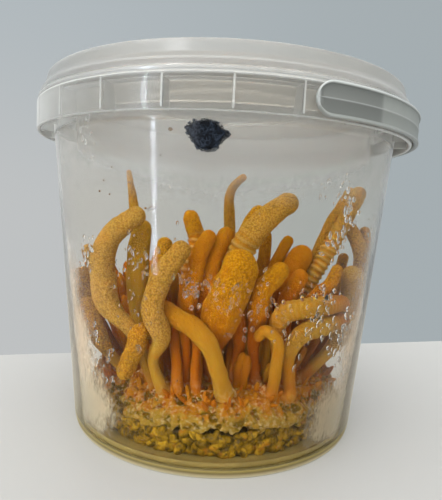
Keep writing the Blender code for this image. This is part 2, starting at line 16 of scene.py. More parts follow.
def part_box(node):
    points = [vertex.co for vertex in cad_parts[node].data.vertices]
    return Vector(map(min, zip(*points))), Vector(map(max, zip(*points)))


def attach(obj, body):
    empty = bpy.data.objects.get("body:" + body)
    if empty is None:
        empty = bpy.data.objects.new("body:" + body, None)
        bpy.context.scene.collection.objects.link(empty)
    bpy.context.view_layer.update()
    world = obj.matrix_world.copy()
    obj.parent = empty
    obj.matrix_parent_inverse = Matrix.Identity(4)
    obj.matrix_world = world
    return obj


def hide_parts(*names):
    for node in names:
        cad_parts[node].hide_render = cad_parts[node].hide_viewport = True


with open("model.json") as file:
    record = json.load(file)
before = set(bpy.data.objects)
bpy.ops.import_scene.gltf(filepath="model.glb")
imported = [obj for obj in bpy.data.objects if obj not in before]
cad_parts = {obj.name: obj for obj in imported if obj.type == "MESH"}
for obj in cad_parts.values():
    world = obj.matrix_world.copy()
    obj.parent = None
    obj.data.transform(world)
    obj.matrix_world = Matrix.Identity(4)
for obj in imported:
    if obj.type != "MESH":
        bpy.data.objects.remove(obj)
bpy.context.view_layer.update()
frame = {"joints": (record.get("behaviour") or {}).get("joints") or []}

bl_info = {
    "name": "Cordyceps tub",
    "version": (1, 0, 0),
    "blender": (4, 5, 0),
    "location": "3D View > Sidebar > Cordyceps",
    "description": "Builds a bunch of cordyceps fruit bodies in a clear growing tub",
    "category": "Add Mesh",
}

MM = 0.001
PIVOT_HEIGHT = frame["joints"][0]["pos_m"][2] / MM
PIVOT_AZIMUTHS = (22.5, 202.5)
BREATHER_AZIMUTH = -4.2
BREATHER_HEIGHT = 95.8
COLLAR_HEIGHT = 100.6
FLOOR_TOP = 2.4
MAT_EDGE = 17.5
SHARP_ANGLE = math.radians(38)
FOCAL_PIXELS = 442.0
PICTURE_HEIGHT = 500.0
SENSOR_WIDTH = 36.0

# Each row is one fruit body seen from the front: stem radius, club radius, where the club swells (share of
# the length), how blunt the tip is, how freely it gives way to its neighbours, and its route from the root.
FRONT_CLUBS = [
    # tall hook at the front left, close to the wall
    (1.6, 3.8, 0.42, 0.75, 0.15, [(-18, -35, 15), (-20, -38, 24.5), (-23, -41, 33.5), (-26, -41, 40),
                                  (-31, -40, 44), (-34.5, -38.5, 49.5), (-36, -38, 57), (-34.5, -38, 65),
                                  (-30, -37, 71), (-23.5, -36, 75.5)]),
    # club leaning right on a wavy stem, and its neighbour behind
    (1.6, 3.3, 0.42, 0.85, 0.15, [(-15, -38, 18), (-18.5, -43, 30.5), (-16.5, -45, 38.5), (-19, -46, 45),
                                  (-17.5, -46, 53), (-15, -45, 59.5), (-12.5, -43, 63), (-10, -41, 67)]),
    (1.5, 2.9, 0.45, 0.85, 0.4, [(-14.5, -28, 17.5), (-17, -30, 33.5), (-19.5, -32, 47), (-19, -33, 57),
                                 (-17, -32, 67.5)]),
    # warty club that droops over to the left
    (1.7, 2.8, 0.55, 0.85, 0.3, [(-23, -26, 15), (-20.5, -31, 26), (-17.5, -40, 37), (-19, -46, 42),
                                 (-22.5, -46, 37), (-25, -44.5, 32), (-27.5, -42.5, 25)]),
    # thick pale stem at the front whose club bows left
    (2.5, 3.1, 0.5, 0.85, 0.15, [(4, -39, 16.5), (1.5, -44, 28.5), (-2, -46, 38), (-6.5, -45, 42),
                                 (-11.5, -43, 44), (-17.5, -40, 47)]),
    # slim stem with a crook at its top
    (1.8, 1.8, 0.4, 0.9, 0.2, [(18.5, -37, 19), (19, -42, 30.5), (19, -43, 38), (15.5, -42, 41.5),
                               (12.5, -38, 38)]),
    # two clubs bent over to the right, the upper one ribbed
    (2.0, 3.1, 0.45, 0.8, 0.2, [(23.5, -30, 20), (19.5, -37, 35.5), (19.5, -40, 45), (24.5, -41, 48),
                                (31, -40, 48.5), (42, -31, 49)]),
    (1.9, 2.9, 0.5, 0.8, 0.2, [(25.5, -35, 19), (23, -39, 31), (25, -42, 39.5), (31.5, -41, 43.5),
                               (42.5, -30, 42.5)]),
    # the stoutest club, in the middle of the front
    (3.1, 5.7, 0.42, 0.92, 0.1, [(0.5, -28, 18.5), (-1, -34, 32), (0, -38, 40.5), (1.5, -41, 47),
                                 (4, -42, 53), (6, -42, 59), (7, -40, 65.5)]),
    # long club that reaches up to the right over a ringed neck, and one behind it
    (2.7, 4.2, 0.5, 0.8, 0.1, [(6.5, -20, 18.5), (2, -26, 36.5), (2.5, -30, 53), (6.5, -32, 65),
                               (11, -32, 71), (15.5, -31, 75.5), (20, -30, 79), (24.5, -29, 81.5)]),
    (2.3, 3.1, 0.5, 0.8, 0.4, [(10, -8, 17.5), (6, -14, 44.5), (7.5, -19, 61.5), (9.5, -21, 70),
                               (11.5, -20, 74), (14.5, -19, 78.5)]),
    # thin curved finger in the middle
    (2.3, 2.5, 0.5, 0.5, 0.3, [(4.5, 8, 20.5), (4.5, 4, 53), (3.5, 2, 72), (3, 1, 82), (5, 0, 86.5),
                               (9, -2, 90)]),
    # round head on a ringed neck
    (1.6, 2.8, 0.72, 0.95, 0.2, [(-11.5, -38, 15.5), (-11.5, -38, 31.5), (-11, -34, 45), (-10.5, -31, 54),
                                 (-9, -29, 61), (-7.5, -27, 67), (-9, -26, 71.5), (-10.5, -25, 76.5)]),
    # thin cone at the back left
    (2.0, 2.4, 0.4, 0.35, 0.3, [(-26, -4, 23), (-30.5, -2, 48.5), (-33, 2, 63.5), (-35, 4, 77.5),
                                (-37.5, 5, 90.5)]),
    # pale stout club behind the hook
    (1.9, 3.8, 0.45, 0.8, 0.4, [(-22.5, -22, 20), (-26, -26, 39), (-26.5, -28, 51), (-26.5, -28, 61),
                                (-25.5, -26, 72.5)]),
    # two clubs side by side left of the stoutest one
    (1.5, 2.8, 0.45, 0.85, 0.3, [(-9, -33, 18.5), (-8.5, -37, 34.5), (-7.5, -38, 49), (-5.5, -36, 59),
                                 (-4, -34, 64.5), (-2, -32, 70)]),
    (1.4, 3.1, 0.45, 0.85, 0.3, [(-5.5, -38, 16), (-6, -38, 33), (-4.5, -36, 49.5), (-1, -33, 59.5),
                                 (2, -31, 65), (4.5, -29, 70.5)]),
    # middle and right of the front, from behind the long club outwards
    (1.7, 2.4, 0.45, 0.8, 0.5, [(18, -10, 22), (16.5, -13, 45), (16.5, -13, 58), (17, -11, 70)]),
    (1.5, 2.3, 0.5, 0.8, 0.4, [(19.5, -16, 22), (19, -20, 46.5), (20, -21, 57.5), (22, -19, 63),
                               (25, -17, 68.5)]),
    (2.0, 4.3, 0.45, 0.85, 0.4, [(23, -18, 20), (22, -22, 43), (24.5, -24, 52.5), (28, -23, 59.5),
                                 (32.5, -21, 63.5)]),
    (1.7, 2.9, 0.45, 0.85, 0.4, [(25, -26, 18), (22, -31, 43), (24, -33, 52), (27.5, -32, 59)]),
    (1.8, 3.2, 0.45, 0.85, 0.25, [(14, -30, 18), (11.5, -36, 41.5), (13, -39, 51), (16.5, -39, 56.5),
                                  (21, -37, 61)]),
    # tall pair on the right, the front one ringed low down
    (2.4, 2.8, 0.6, 0.85, 0.15, [(28, -14, 20), (28.5, -20, 41.5), (30.5, -23, 53), (33.5, -23, 59),
                                 (37.5, -22, 65), (41, -21, 72), (44.5, -20, 79), (48.5, -18, 86.5)]),
    (2.2, 2.6, 0.5, 0.8, 0.3, [(32, -4, 20), (33.5, -10, 45), (35.5, -13, 60), (39, -12, 69.5),
                               (43.5, -10, 78), (48.5, -8, 86.5)]),
    # right-hand edge of the bunch
    (1.9, 2.7, 0.5, 0.8, 0.3, [(37, -10, 18), (47.5, -18, 45.5), (51, -17, 58), (49.5, -18, 65.5),
                               (47.5, -16, 70), (45.5, -14, 74)]),
    (1.7, 3.7, 0.45, 0.85, 0.2, [(29, -24, 17.5), (39, -31, 34.5), (45.5, -24.5, 45), (46, -25, 52),
                                 (43.5, -29, 60)]),
    (1.8, 2.2, 0.5, 0.8, 0.5, [(38, 2, 18), (52, -6, 49), (52.5, -14, 62), (52, -14, 73)]),
    (1.6, 2.1, 0.5, 0.85, 0.4, [(29, -17, 18), (28.5, -31, 44), (32, -34, 51.5), (36, -33, 55),
                                (39, -31, 61)]),
    (1.6, 2.3, 0.5, 0.8, 0.6, [(36, -3, 18), (45, -4, 46.5), (48.5, -4, 62)]),
    # left-hand edge of the bunch
    (1.9, 3.0, 0.5, 0.85, 0.4, [(-34.5, -12, 17), (-41, -16, 32), (-46, -18, 42.5), (-49, -17, 54.5)]),
    (1.7, 3.0, 0.5, 0.85, 0.4, [(-30.5, -22, 17), (-36, -28, 28), (-40.5, -29, 37), (-44, -28, 46)]),
    (1.8, 2.6, 0.5, 0.8, 0.5, [(-37, 2, 18.5), (-44, -4, 40), (-47.5, -8, 51.5), (-49.5, -9, 61.5)]),
    # small club in the shade between the stoutest one and its right-hand neighbour
    (1.7, 2.2, 0.5, 0.85, 0.5, [(7, -30, 18), (8, -33, 32), (9.5, -36, 43.5), (11.5, -35, 50.5)]),
]
# Rear half, in three rings: ring radius, how many, first and last azimuth, outward lean, height.
REAR_RINGS = [
    (33.0, 10, 76.0, 284.0, 16.0, 34.0),
    (21.0, 6, 82.0, 278.0, 10.0, 37.0),
    (9.0, 4, 100.0, 330.0, 4.0, 36.0),
]
REAR_SEED = 5
REAR_RADIUS_RANGE = (2.9, 4.4)
CLUB_SAMPLES = 20
CLUB_ROUNDS = 240
CLUB_GAP = 0.6
WALL_GAP = 0.7
MAT_GAP = 0.4
ROOT_LIMIT = 39.0
CROWD_SPREAD = 6.5
REAR_MESH_STEP = 1.6

# Relief and colour that one fruit body has and most others don't: where its grains start (share of the
# length), how coarse and how deep they are, rings round it (from, to, pitch, depth), ridges along it
# (count, depth, from, to), and how pale it is.
PLAIN_LOOK = (0.34, 1.0, 0.20, None, None, 0.0)
CLUB_LOOKS = {
    1: (0.25, 1.0, 0.22, None, (9, 0.10, 0.1, 0.4), 0.15),
    2: (0.40, 1.0, 0.20, None, None, 0.0),
    4: (0.42, 1.4, 0.42, None, None, 0.0),
    5: (0.62, 0.9, 0.12, None, None, 0.75),
    6: (0.90, 0.9, 0.08, None, None, 0.85),
    7: (0.36, 1.0, 0.14, (0.40, 0.92, 1.5, 0.12), None, 0.4),
    8: (0.40, 1.0, 0.16, (0.60, 0.90, 1.7, 0.10), None, 0.4),
    9: (0.24, 1.1, 0.26, None, (7, 0.16, 0.25, 0.8), 0.0),
    10: (0.42, 1.0, 0.22, (0.50, 0.70, 2.1, 0.32), None, 0.1),
    12: (0.30, 0.8, 0.12, None, None, 0.2),
    13: (0.62, 1.0, 0.22, (0.62, 0.84, 2.5, 0.45), None, 0.05),
    14: (0.30, 0.8, 0.12, None, None, 0.2),
    15: (0.72, 1.0, 0.12, None, None, 0.95),
    23: (0.44, 1.0, 0.20, (0.30, 0.74, 1.9, 0.30), None, 0.15),
    26: (0.30, 1.0, 0.14, None, None, 0.4),
}

# How tan a fruit body is: below 0 it gets extra painted shade, a deeper orange than the rest.
CLUB_TANS = {1: 0.60, 2: 0.45, 3: 0.10, 4: 0.15, 7: 0.30, 8: 0.35, 9: -0.12, 10: 0.40, 11: 0.10, 12: 0.30,
             13: -0.20, 14: 0.35, 15: 0.20, 16: -0.25, 17: -0.25, 18: -0.20, 19: -0.20, 20: -0.30, 21: -0.30,
             22: -0.10, 23: 0.45, 24: 0.30, 25: 0.40, 26: 0.60, 30: 0.30, 31: 0.30, 32: 0.30}

# Clusters of drops on the inside of the wall: azimuth, height, spread, how many, largest drop's radius.
DROP_CLUSTERS = [
    (-42.2, 101.0, 2.0, 4, 1.2), (-41.0, 97.5, 2.0, 3, 0.9), (-39.6, 93.8, 2.0, 3, 0.8),
    (-46.0, 63.0, 3.0, 8, 0.9), (-46.5, 59.5, 2.0, 5, 0.8), (-23.9, 63.8, 3.0, 10, 0.6),
    (-21.7, 60.4, 3.0, 10, 0.6), (-27.8, 51.4, 3.0, 8, 0.6), (-21.5, 47.9, 3.0, 8, 0.6),
    (-10.3, 58.6, 2.5, 8, 0.7), (-7.0, 56.4, 2.5, 10, 0.8), (-5.3, 55.1, 2.5, 10, 0.8),
    (0.8, 53.2, 3.0, 12, 0.7), (6.7, 48.3, 3.0, 12, 0.7), (8.9, 56.2, 2.5, 10, 0.7),
    (15.2, 50.6, 3.0, 12, 0.7), (22.0, 46.0, 3.0, 14, 0.7), (30.2, 84.6, 2.0, 5, 0.8),
    (36.8, 81.7, 2.5, 8, 0.9), (39.8, 78.4, 2.5, 8, 0.9), (55.7, 76.2, 3.0, 6, 0.8),
    (36.1, 70.2, 2.5, 8, 0.7), (37.3, 68.7, 2.5, 8, 0.7), (28.9, 54.4, 3.0, 10, 0.7),
    (36.2, 52.4, 3.0, 12, 0.9), (32.4, 45.2, 3.5, 14, 0.9), (44.4, 40.4, 4.0, 14, 1.0),
    (-46.6, 37.9, 4.0, 12, 0.9), (-40.9, 32.8, 4.0, 12, 0.8), (-40.7, 23.1, 4.0, 10, 0.8),
    (48.4, 38.1, 4.0, 12, 0.9), (58.9, 25.2, 4.0, 10, 0.9),
]
# Specks on the inside of the wall: azimuth, height, radius.
SPECKS = [
    (-13.5, 97.2, 0.5), (-20.5, 76.8, 0.3), (-31.3, 87.6, 0.25), (-25.6, 83.6, 0.3), (-34.6, 84.0, 0.25),
    (-36.5, 81.0, 0.3), (-32.5, 80.2, 0.25), (-16.1, 90.7, 0.25),
]
# Fog on the wall: azimuth, height, half width in degrees, half height, strength.
FOG_PATCHES = [
    (-66.0, 27.0, 13.0, 23.0, 0.85), (-58.0, 10.0, 16.0, 10.0, 0.45), (-80.0, 30.0, 12.0, 28.0, 0.6),
    (-44.0, 14.0, 12.0, 11.0, 0.95), (-63.0, 54.0, 12.0, 16.0, 0.8), (-50.0, 34.0, 11.0, 13.0, 0.6),
    (66.0, 26.0, 13.0, 24.0, 0.9), (56.0, 10.0, 17.0, 11.0, 0.45), (80.0, 32.0, 12.0, 28.0, 0.6),
    (44.0, 14.0, 12.0, 12.0, 0.95), (50.0, 38.0, 7.0, 8.0, 0.5), (62.0, 58.0, 12.0, 20.0, 0.75),
    (180.0, 112.0, 100.0, 19.0, 1.9), (180.0, 30.0, 75.0, 22.0, 0.7), (180.0, 75.0, 80.0, 30.0, 0.42),
]


# Shapes as arrays

def direction(azimuth_deg):
    """Unit vectors at azimuths counted from the front towards the right: (sin a, -cos a, 0)."""
    a = np.radians(azimuth_deg)
    return np.stack([np.sin(a), -np.cos(a), np.zeros_like(a)], axis=-1)


def unit(vectors):
    """The vectors, each divided by its length."""
    return vectors / np.linalg.norm(vectors, axis=-1)[..., None]


def around(count):
    """Angles at even steps round a full turn, in radians from 0."""
    return np.linspace(0.0, math.tau, count, endpoint=False)


def azimuths_around(count):
    """Azimuths at even steps round a full turn, in degrees from -180."""
    return np.linspace(-180.0, 180.0, count, endpoint=False)


def placed_round(azimuth_deg, radius, height):
    """Points at azimuths, radii and heights: (r sin a, -r cos a, z)."""
    points = direction(azimuth_deg) * radius[..., None]
    points[..., 2] = height
    return points


def hashed(cells, seed):
    """A number from 0 to 1 for every whole-number place, by mixing the bits of its three numbers."""
    x, y, z = np.moveaxis(cells.astype(np.int64).astype(np.uint32), -1, 0)
    mixed = x * np.uint32(73856093) ^ y * np.uint32(19349663) ^ z * np.uint32(83492791)
    mixed = mixed ^ np.uint32((seed * 2654435761 + 374761393) % 4294967296)
    mixed = (mixed ^ (mixed >> np.uint32(15))) * np.uint32(739982445)
    mixed = (mixed ^ (mixed >> np.uint32(12))) * np.uint32(695872825)
    return (mixed ^ (mixed >> np.uint32(15))) / 4294967296.0


def soft_noise(points, size, seed=0):
    """Value noise from -1 to 1: random numbers at the corners of cubes, eased between them."""
    place = points / size
    base = np.floor(place)
    t = place - base
    t = t * t * (3.0 - 2.0 * t)
    total = np.zeros(points.shape[:-1])
    for corner in product((0, 1), repeat=3):
        total += hashed(base + corner, seed) * np.prod(np.where(corner, t, 1.0 - t), axis=-1)
    return 2.0 * total - 1.0


def grain_noise(points, size, seed=0):
    """Rounded grains from 0 to 1: one random point in every cube, a dome round the nearest one."""
    place = points / size
    base = np.floor(place)
    nearest = np.full(points.shape[:-1], 9.0)
    for step in product((-1, 0, 1), repeat=3):
        cell = base + step
        centre = cell + np.stack([hashed(cell, seed + k) for k in (1, 2, 3)], axis=-1)
        nearest = np.minimum(nearest, ((place - centre) ** 2).sum(-1))
    return np.clip(1.0 - nearest / 0.7, 0.0, 1.0)


def smoothstep(value, low, high):
    """0 below low and 1 above high, with an eased rise between them."""
    k = np.clip((value - low) / (high - low), 0.0, 1.0)
    return k * k * (3.0 - 2.0 * k)


def grid_faces(rows, columns, wrap_rows=False):
    """Corner numbers of the quads between neighbouring rows and columns; the columns close on themselves."""
    r = np.arange(rows if wrap_rows else rows - 1)[:, None]
    c = np.arange(columns)[None]
    here, there = r * columns, (r + 1) % rows * columns
    following = (c + 1) % columns
    return np.stack([here + c, here + following, there + following, there + c], axis=-1).reshape(-1, 4)


def closed_tube(rings, start, end):
    """Points and faces of a tube of rings that is closed by one point at each end."""
    rows, columns = rings.shape[:2]
    points = np.concatenate([rings.reshape(-1, 3), [start, end]])
    c = np.arange(columns)
    following = (c + 1) % columns
    last = (rows - 1) * columns
    first_cap = np.stack([np.full(columns, rows * columns), following, c], axis=-1)
    last_cap = np.stack([np.full(columns, rows * columns + 1), last + c, last + following], axis=-1)
    return points, [grid_faces(rows, columns), first_cap, last_cap]


def volume(points, faces):
    """Signed volume inside the faces: the sum of each fan triangle's triple product over 6."""
    total = 0.0
    for group in faces:
        a = points[group[:, 0]]
        for k in range(1, group.shape[1] - 1):
            total += np.einsum("ij,ij->", a, np.cross(points[group[:, k]], points[group[:, k + 1]]))
    return total / 6.0


def fill_mesh(name, points, faces, finish, attributes=None):
    """A smooth mesh object from points in millimetres and groups of faces, turned to face outwards."""
    if volume(points, faces) < 0.0:
        faces = [group[:, ::-1] for group in faces]
    sizes = np.concatenate([np.full(len(group), group.shape[1]) for group in faces])
    corners = np.concatenate([group.ravel() for group in faces])
    mesh = bpy.data.meshes.new(name)
    mesh.vertices.add(len(points))
    mesh.vertices.foreach_set("co", (points * MM).astype(np.float32).ravel())
    mesh.loops.add(len(corners))
    mesh.loops.foreach_set("vertex_index", corners.astype(np.int32))
    mesh.polygons.add(len(sizes))
    mesh.polygons.foreach_set("loop_start", np.concatenate([[0], np.cumsum(sizes)[:-1]]).astype(np.int32))
    mesh.update(calc_edges=True)
    mesh.shade_smooth()
    for label, values in (attributes or {}).items():
        mark = mesh.attributes.new(label, "FLOAT", "POINT")
        mark.data.foreach_set("value", values.astype(np.float32).ravel())
    mesh.materials.append(finish)
    item = bpy.data.objects.new(name, mesh)
    bpy.context.scene.collection.objects.link(item)
    return item


def place_piece(item, body, slot, *nodes):
    """Tie a finished piece to its body and let it stand for its solids; slot is not used."""
    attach(item, body)
    if nodes:
        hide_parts(*nodes)


def rounded(outline, radius, steps=4):
    """An outline with every inner corner cut back by radius and bridged with an arc-like curve.

    Each corner becomes the quadratic curve (1-t)^2 a + 2t(1-t) corner + t^2 b between the two cuts."""
    p = np.asarray(outline, float)
    before, corner, after = p[:-2], p[1:-1], p[2:]
    back, ahead = before - corner, after - corner
    back_length = np.linalg.norm(back, axis=1)[:, None]
    ahead_length = np.linalg.norm(ahead, axis=1)[:, None]
    cut = np.minimum(radius, 0.45 * np.minimum(back_length, ahead_length))
    a = corner + back / back_length * cut
    b = corner + ahead / ahead_length * cut
    t = np.linspace(0.0, 1.0, steps + 1)[None, :, None]
    curve = (1 - t) ** 2 * a[:, None] + 2 * t * (1 - t) * corner[:, None] + t ** 2 * b[:, None]
    return np.concatenate([p[:1], curve.reshape(-1, 2), p[-1:]])


def turned(outline, steps):
    """Spin an outline about the axis: (r sin a, -r cos a, z), closed by its two end points on the axis."""
    p = np.asarray(outline, float)
    a = around(steps)
    inner = p[1:-1]
    rings = np.stack([inner[:, :1] * np.sin(a), -inner[:, :1] * np.cos(a),
                      np.repeat(inner[:, 1:], steps, axis=1)], axis=-1)
    return closed_tube(rings, (0.0, 0.0, p[0, 1]), (0.0, 0.0, p[-1, 1]))


def unit_ball(rows, columns):
    """Points and faces of a ball of radius 1: rings at even steps of latitude between two poles."""
    latitude = np.linspace(0.0, math.pi, rows + 2)[1:-1, None]
    turn = around(columns)[None]
    rings = np.stack([np.sin(latitude) * np.cos(turn), np.sin(latitude) * np.sin(turn),
                      np.cos(latitude) * np.ones_like(turn)], axis=-1)
    return closed_tube(rings, (0.0, 0.0, 1.0), (0.0, 0.0, -1.0))


def many(shape, frames, centres):
    """Copies of one closed shape, each turned and stretched by its 3x3 frame and moved to its centre."""
    points, faces = shape
    copies = np.einsum("kj,nij->nki", points, frames) + centres[:, None]
    shift = np.arange(len(centres))[:, None, None] * len(points)
    return copies.reshape(-1, 3), [(group[None] + shift).reshape(-1, group.shape[1]) for group in faces]


def joined(shapes):
    """Several closed shapes as one set of points and faces."""
    points, faces, shift = [], [], 0
    for shape_points, shape_faces in shapes:
        points.append(shape_points)
        faces += [group + shift for group in shape_faces]
        shift += len(shape_points)
    return np.concatenate(points), faces


def end_marked(marks, value=0.0):
    """Marks of a closed tube's corners, with a value for the point at each end."""
    return {label: np.concatenate([values.ravel(), [value, value]]) for label, values in marks.items()}


def swept(outline, azimuth_deg):
    """Rings of points, one for each radius and height of the outline, at azimuths round the axis."""
    return placed_round(azimuth_deg[None], outline[:, :1], outline[:, 1:])


def wall_frames(azimuth_deg, wide, high, deep):
    """3x3 frames at places on the wall: first axis along it, second up, third outwards."""
    out = direction(azimuth_deg)
    side = np.stack([-out[:, 1], out[:, 0], np.zeros(len(out))], axis=-1)
    up = np.zeros_like(out)
    up[:, 2] = 1.0
    return np.stack([side * wide[:, None], up * high[:, None], out * deep[:, None]], axis=-1)


def tub_inner_radius(z):
    """Radius of the wall's inside at a height: it widens evenly up to the collar."""
    return 51.75 + 8.25 * z / COLLAR_HEIGHT


# Growth of the fruit bodies, as their solids have it

def mat_height(x, y):
    """Height of the mat's top at a place, a low dome."""
    return MAT_EDGE + 4.0 * np.clip(1.0 - (x * x + y * y) / 38.0 ** 2, -0.35, 1.0)


def arc_lengths(path):
    """Length of a path up to each of its points."""
    return np.concatenate([[0.0], np.cumsum(np.linalg.norm(np.diff(path, axis=0), axis=1))])


def read_along(path, along, wanted):
    """Points of a path at wanted lengths, in a straight line between its own points."""
    return np.stack([np.interp(wanted, along, path[:, k]) for k in range(3)], axis=-1)


def smooth_route(points, count):
    """A smooth curve through the points, read at equal steps of its length.

    Between two points it is a cubic whose slope at each is half the step between that point's neighbours."""
    p = np.asarray(points, float)
    p = np.vstack([2 * p[0] - p[1], p, 2 * p[-1] - p[-2]])
    t = np.linspace(0, 1, 25)[:-1, None]
    parts = [b + 0.5 * t * (c - a + t * (2 * a - 5 * b + 4 * c - d + t * (3 * b - a - 3 * c + d)))
             for a, b, c, d in zip(p[:-3], p[1:-2], p[2:-1], p[3:])]
    curve = np.vstack(parts + [p[-2][None]])
    along = arc_lengths(curve)
    return read_along(curve, along, np.linspace(0, along[-1], count))


def girth(along, stem, club, swell, tip):
    """Radius along a fruit body: a slim stem, a smooth swelling, a taper and a round tip."""
    total = along[-1]
    share = along / total
    k = np.clip((share - swell + 0.18) / 0.36, 0.0, 1.0)
    radius = stem + (club - stem) * k * k * (3.0 - 2.0 * k)
    radius = radius * (1.0 - (1.0 - tip) * np.clip((share - 0.55) / 0.45, 0.0, 1.0) ** 1.5)
    end = club * tip * 1.15
    v = np.clip((along - (total - end)) / end, 0.0, 1.0)
    return radius * np.sqrt(np.clip(1.0 - v * v, 0.0, 1.0))


def rear_clubs():
    """Rows for the hidden half: rings of roots, each club leaning out and swaying to one side."""
    draw = np.random.default_rng(REAR_SEED)
    rows = []
    for ring, count, first, last, lean, height in REAR_RINGS:
        for k in range(count):
            out = direction(first + (last - first) * k / (count - 1) + draw.uniform(-5, 5))
            side = np.array([out[1], -out[0], 0.0]) * draw.uniform(-6, 6)
            root = ring + draw.uniform(-2, 2)
            rise = height + draw.uniform(-5, 4)
            reach = lean * draw.uniform(0.5, 1.15)
            droop = draw.uniform(0.05, 0.3)
            club = draw.uniform(*REAR_RADIUS_RANGE)
            route = []
            for t in (0.0, 0.25, 0.5, 0.75, 1.0):
                place = out * (root + reach * (t ** 1.3 - 0.3 * t ** 4)) + side * math.sin(2.6 * t)
                route.append((place[0], place[1], MAT_EDGE + rise * (t - droop * t ** 4)))
            rows.append((club * 0.6, club, 0.48, 0.84, 0.8, route))
    return rows


def push_apart(points, first, second, need, share, shape):
    """Half of what each pair lacks of its distance, shared out and evened along each club."""
    gap = points[first] - points[second]
    distance = np.sqrt((gap * gap).sum(1)) + 1e-9
    step = gap * (0.5 * np.maximum(need - distance, 0.0) / distance)[:, None]
    push = np.stack([np.bincount(first, step[:, k] * share, len(points))
                     - np.bincount(second, step[:, k] * (1.0 - share), len(points))
                     for k in range(3)], axis=-1)
    push = push.reshape(shape)
    for _ in range(2):
        padded = np.concatenate([push[:, :1], push, push[:, -1:]], axis=1)
        push = 0.25 * padded[:, :-2] + 0.5 * padded[:, 1:-1] + 0.25 * padded[:, 2:]
    return push


def root_heights(paths, radii):
    """Height at which the rim of each club's root end just clears the mat."""
    ahead = unit(paths[:, 1] - paths[:, 0])
    side = unit(np.cross(ahead, (1.0, 0.0, 0.0)))
    other = np.cross(ahead, side)
    turn = around(8)[:, None, None]
    rim = radii[:, None] * (np.cos(turn) * side + np.sin(turn) * other)
    ground = mat_height(paths[:, 0, 0] + rim[..., 0], paths[:, 0, 1] + rim[..., 1])
    return (ground - rim[..., 2]).max(axis=0) + MAT_GAP


def keep_inside(paths, radii):
    """Hold the clubs inside the wall and above the mat, with their roots on it."""
    reach = np.hypot(paths[..., 0], paths[..., 1]) + 1e-9
    limit = tub_inner_radius(paths[..., 2]) - radii - WALL_GAP
    paths[..., :2] *= np.minimum(1.0, limit / reach)[..., None]
    steps = np.linalg.norm(np.diff(paths, axis=1), axis=2)
    climb = 0.9 * np.concatenate([np.zeros((len(paths), 1)), np.cumsum(steps, axis=1)], axis=1)
    floor = mat_height(paths[..., 0], paths[..., 1]) + np.minimum(radii, climb) + MAT_GAP
    over_mat = np.hypot(paths[..., 0], paths[..., 1]) < 45.0
    paths[..., 2] = np.where(over_mat, np.maximum(paths[..., 2], floor), paths[..., 2])
    root = np.hypot(paths[:, 0, 0], paths[:, 0, 1])
    paths[:, 0, :2] *= np.minimum(1.0, ROOT_LIMIT / root)[:, None]
    paths[:, 0, 2] = root_heights(paths, radii[:, 0])


def rooted(route):
    """The route with its first point set down on the mat."""
    points = np.array(route, float)
    points[0, 2] = mat_height(points[0, 0], points[0, 1]) + MAT_GAP
    return points


def settle(rows):
    """Let the clubs give way to each other until none touch; returns each one's path."""
    paths = np.stack([smooth_route(rooted(row[5]), CLUB_SAMPLES) for row in rows])
    radii = np.stack([girth(arc_lengths(path), *row[:4]) for path, row in zip(paths, rows)])
    radii = np.maximum(radii, 0.6)
    owner = np.repeat(np.arange(len(rows)), CLUB_SAMPLES)
    size = radii.reshape(-1)
    yields = np.repeat(np.array([row[4] for row in rows]), CLUB_SAMPLES)
    for turn in range(CLUB_ROUNDS):
        points = paths.reshape(-1, 3)
        if turn % 20 == 0:
            square = (points * points).sum(1)
            apart = square[:, None] + square[None] - 2.0 * points @ points.T
            near = size[:, None] + size[None] + CLUB_GAP + 3.0
            first, second = np.nonzero(np.triu((apart < near ** 2) & (owner[:, None] != owner[None])))
            need = size[first] + size[second] + CLUB_GAP
            share = yields[first] / (yields[first] + yields[second])
        paths = paths + push_apart(points, first, second, need, share, paths.shape)
        keep_inside(paths, radii)
    return paths


CLUB_ROWS = FRONT_CLUBS + rear_clubs()
CLUB_PATHS = settle(CLUB_ROWS)
CLUB_RADII = np.stack([girth(arc_lengths(path), *row[:4]) for path, row in zip(CLUB_PATHS, CLUB_ROWS)])


# Materials as expressions

HAZE_COLOUR = (0.70, 0.71, 0.70)
# Colour of what clouds the wall, by height: painted at the foot with the colour of the liquid seen through it
# and a dark line across it, tan above it, and clean plastic from half way up.
WALL_TONES = [(0.1, (0.72, 0.66, 0.44)), (1.0, (0.48, 0.38, 0.20)), (1.7, (0.17, 0.125, 0.03)),
              (2.4, (0.36, 0.27, 0.06)), (3.2, (0.60, 0.48, 0.19)), (5.0, (0.66, 0.56, 0.34)),
              (14.0, (0.80, 0.70, 0.52)), (42.0, (0.86, 0.79, 0.66)), (60.0, (0.70, 0.71, 0.70))]
WALL_TONES_TOP = 64.0
# Painted shade between the clubs' grains.
PIT_SHADE = (0.24, 0.112, 0.001)
ORANGE_STAIN = (0.40, 0.15, 0.004)
RUST_STAIN = (0.25, 0.045, 0.001)
WHITE_FUZZ = (0.66, 0.53, 0.31)
TAN_SKIN = (0.46, 0.305, 0.10)
# Painted highlight on the crests of ringed necks.
CREST_HIGHLIGHT = (0.62, 0.39, 0.13)
WHITISH_FOOT = (0.60, 0.42, 0.19)
THIN_FOG = (0.93, 0.945, 0.945)
# Painted highlight along the handle's raised rim.
RIM_HIGHLIGHT = (0.66, 0.69, 0.69)
GREY_LEFT_AND_TOP = (0.085, 0.090, 0.105)


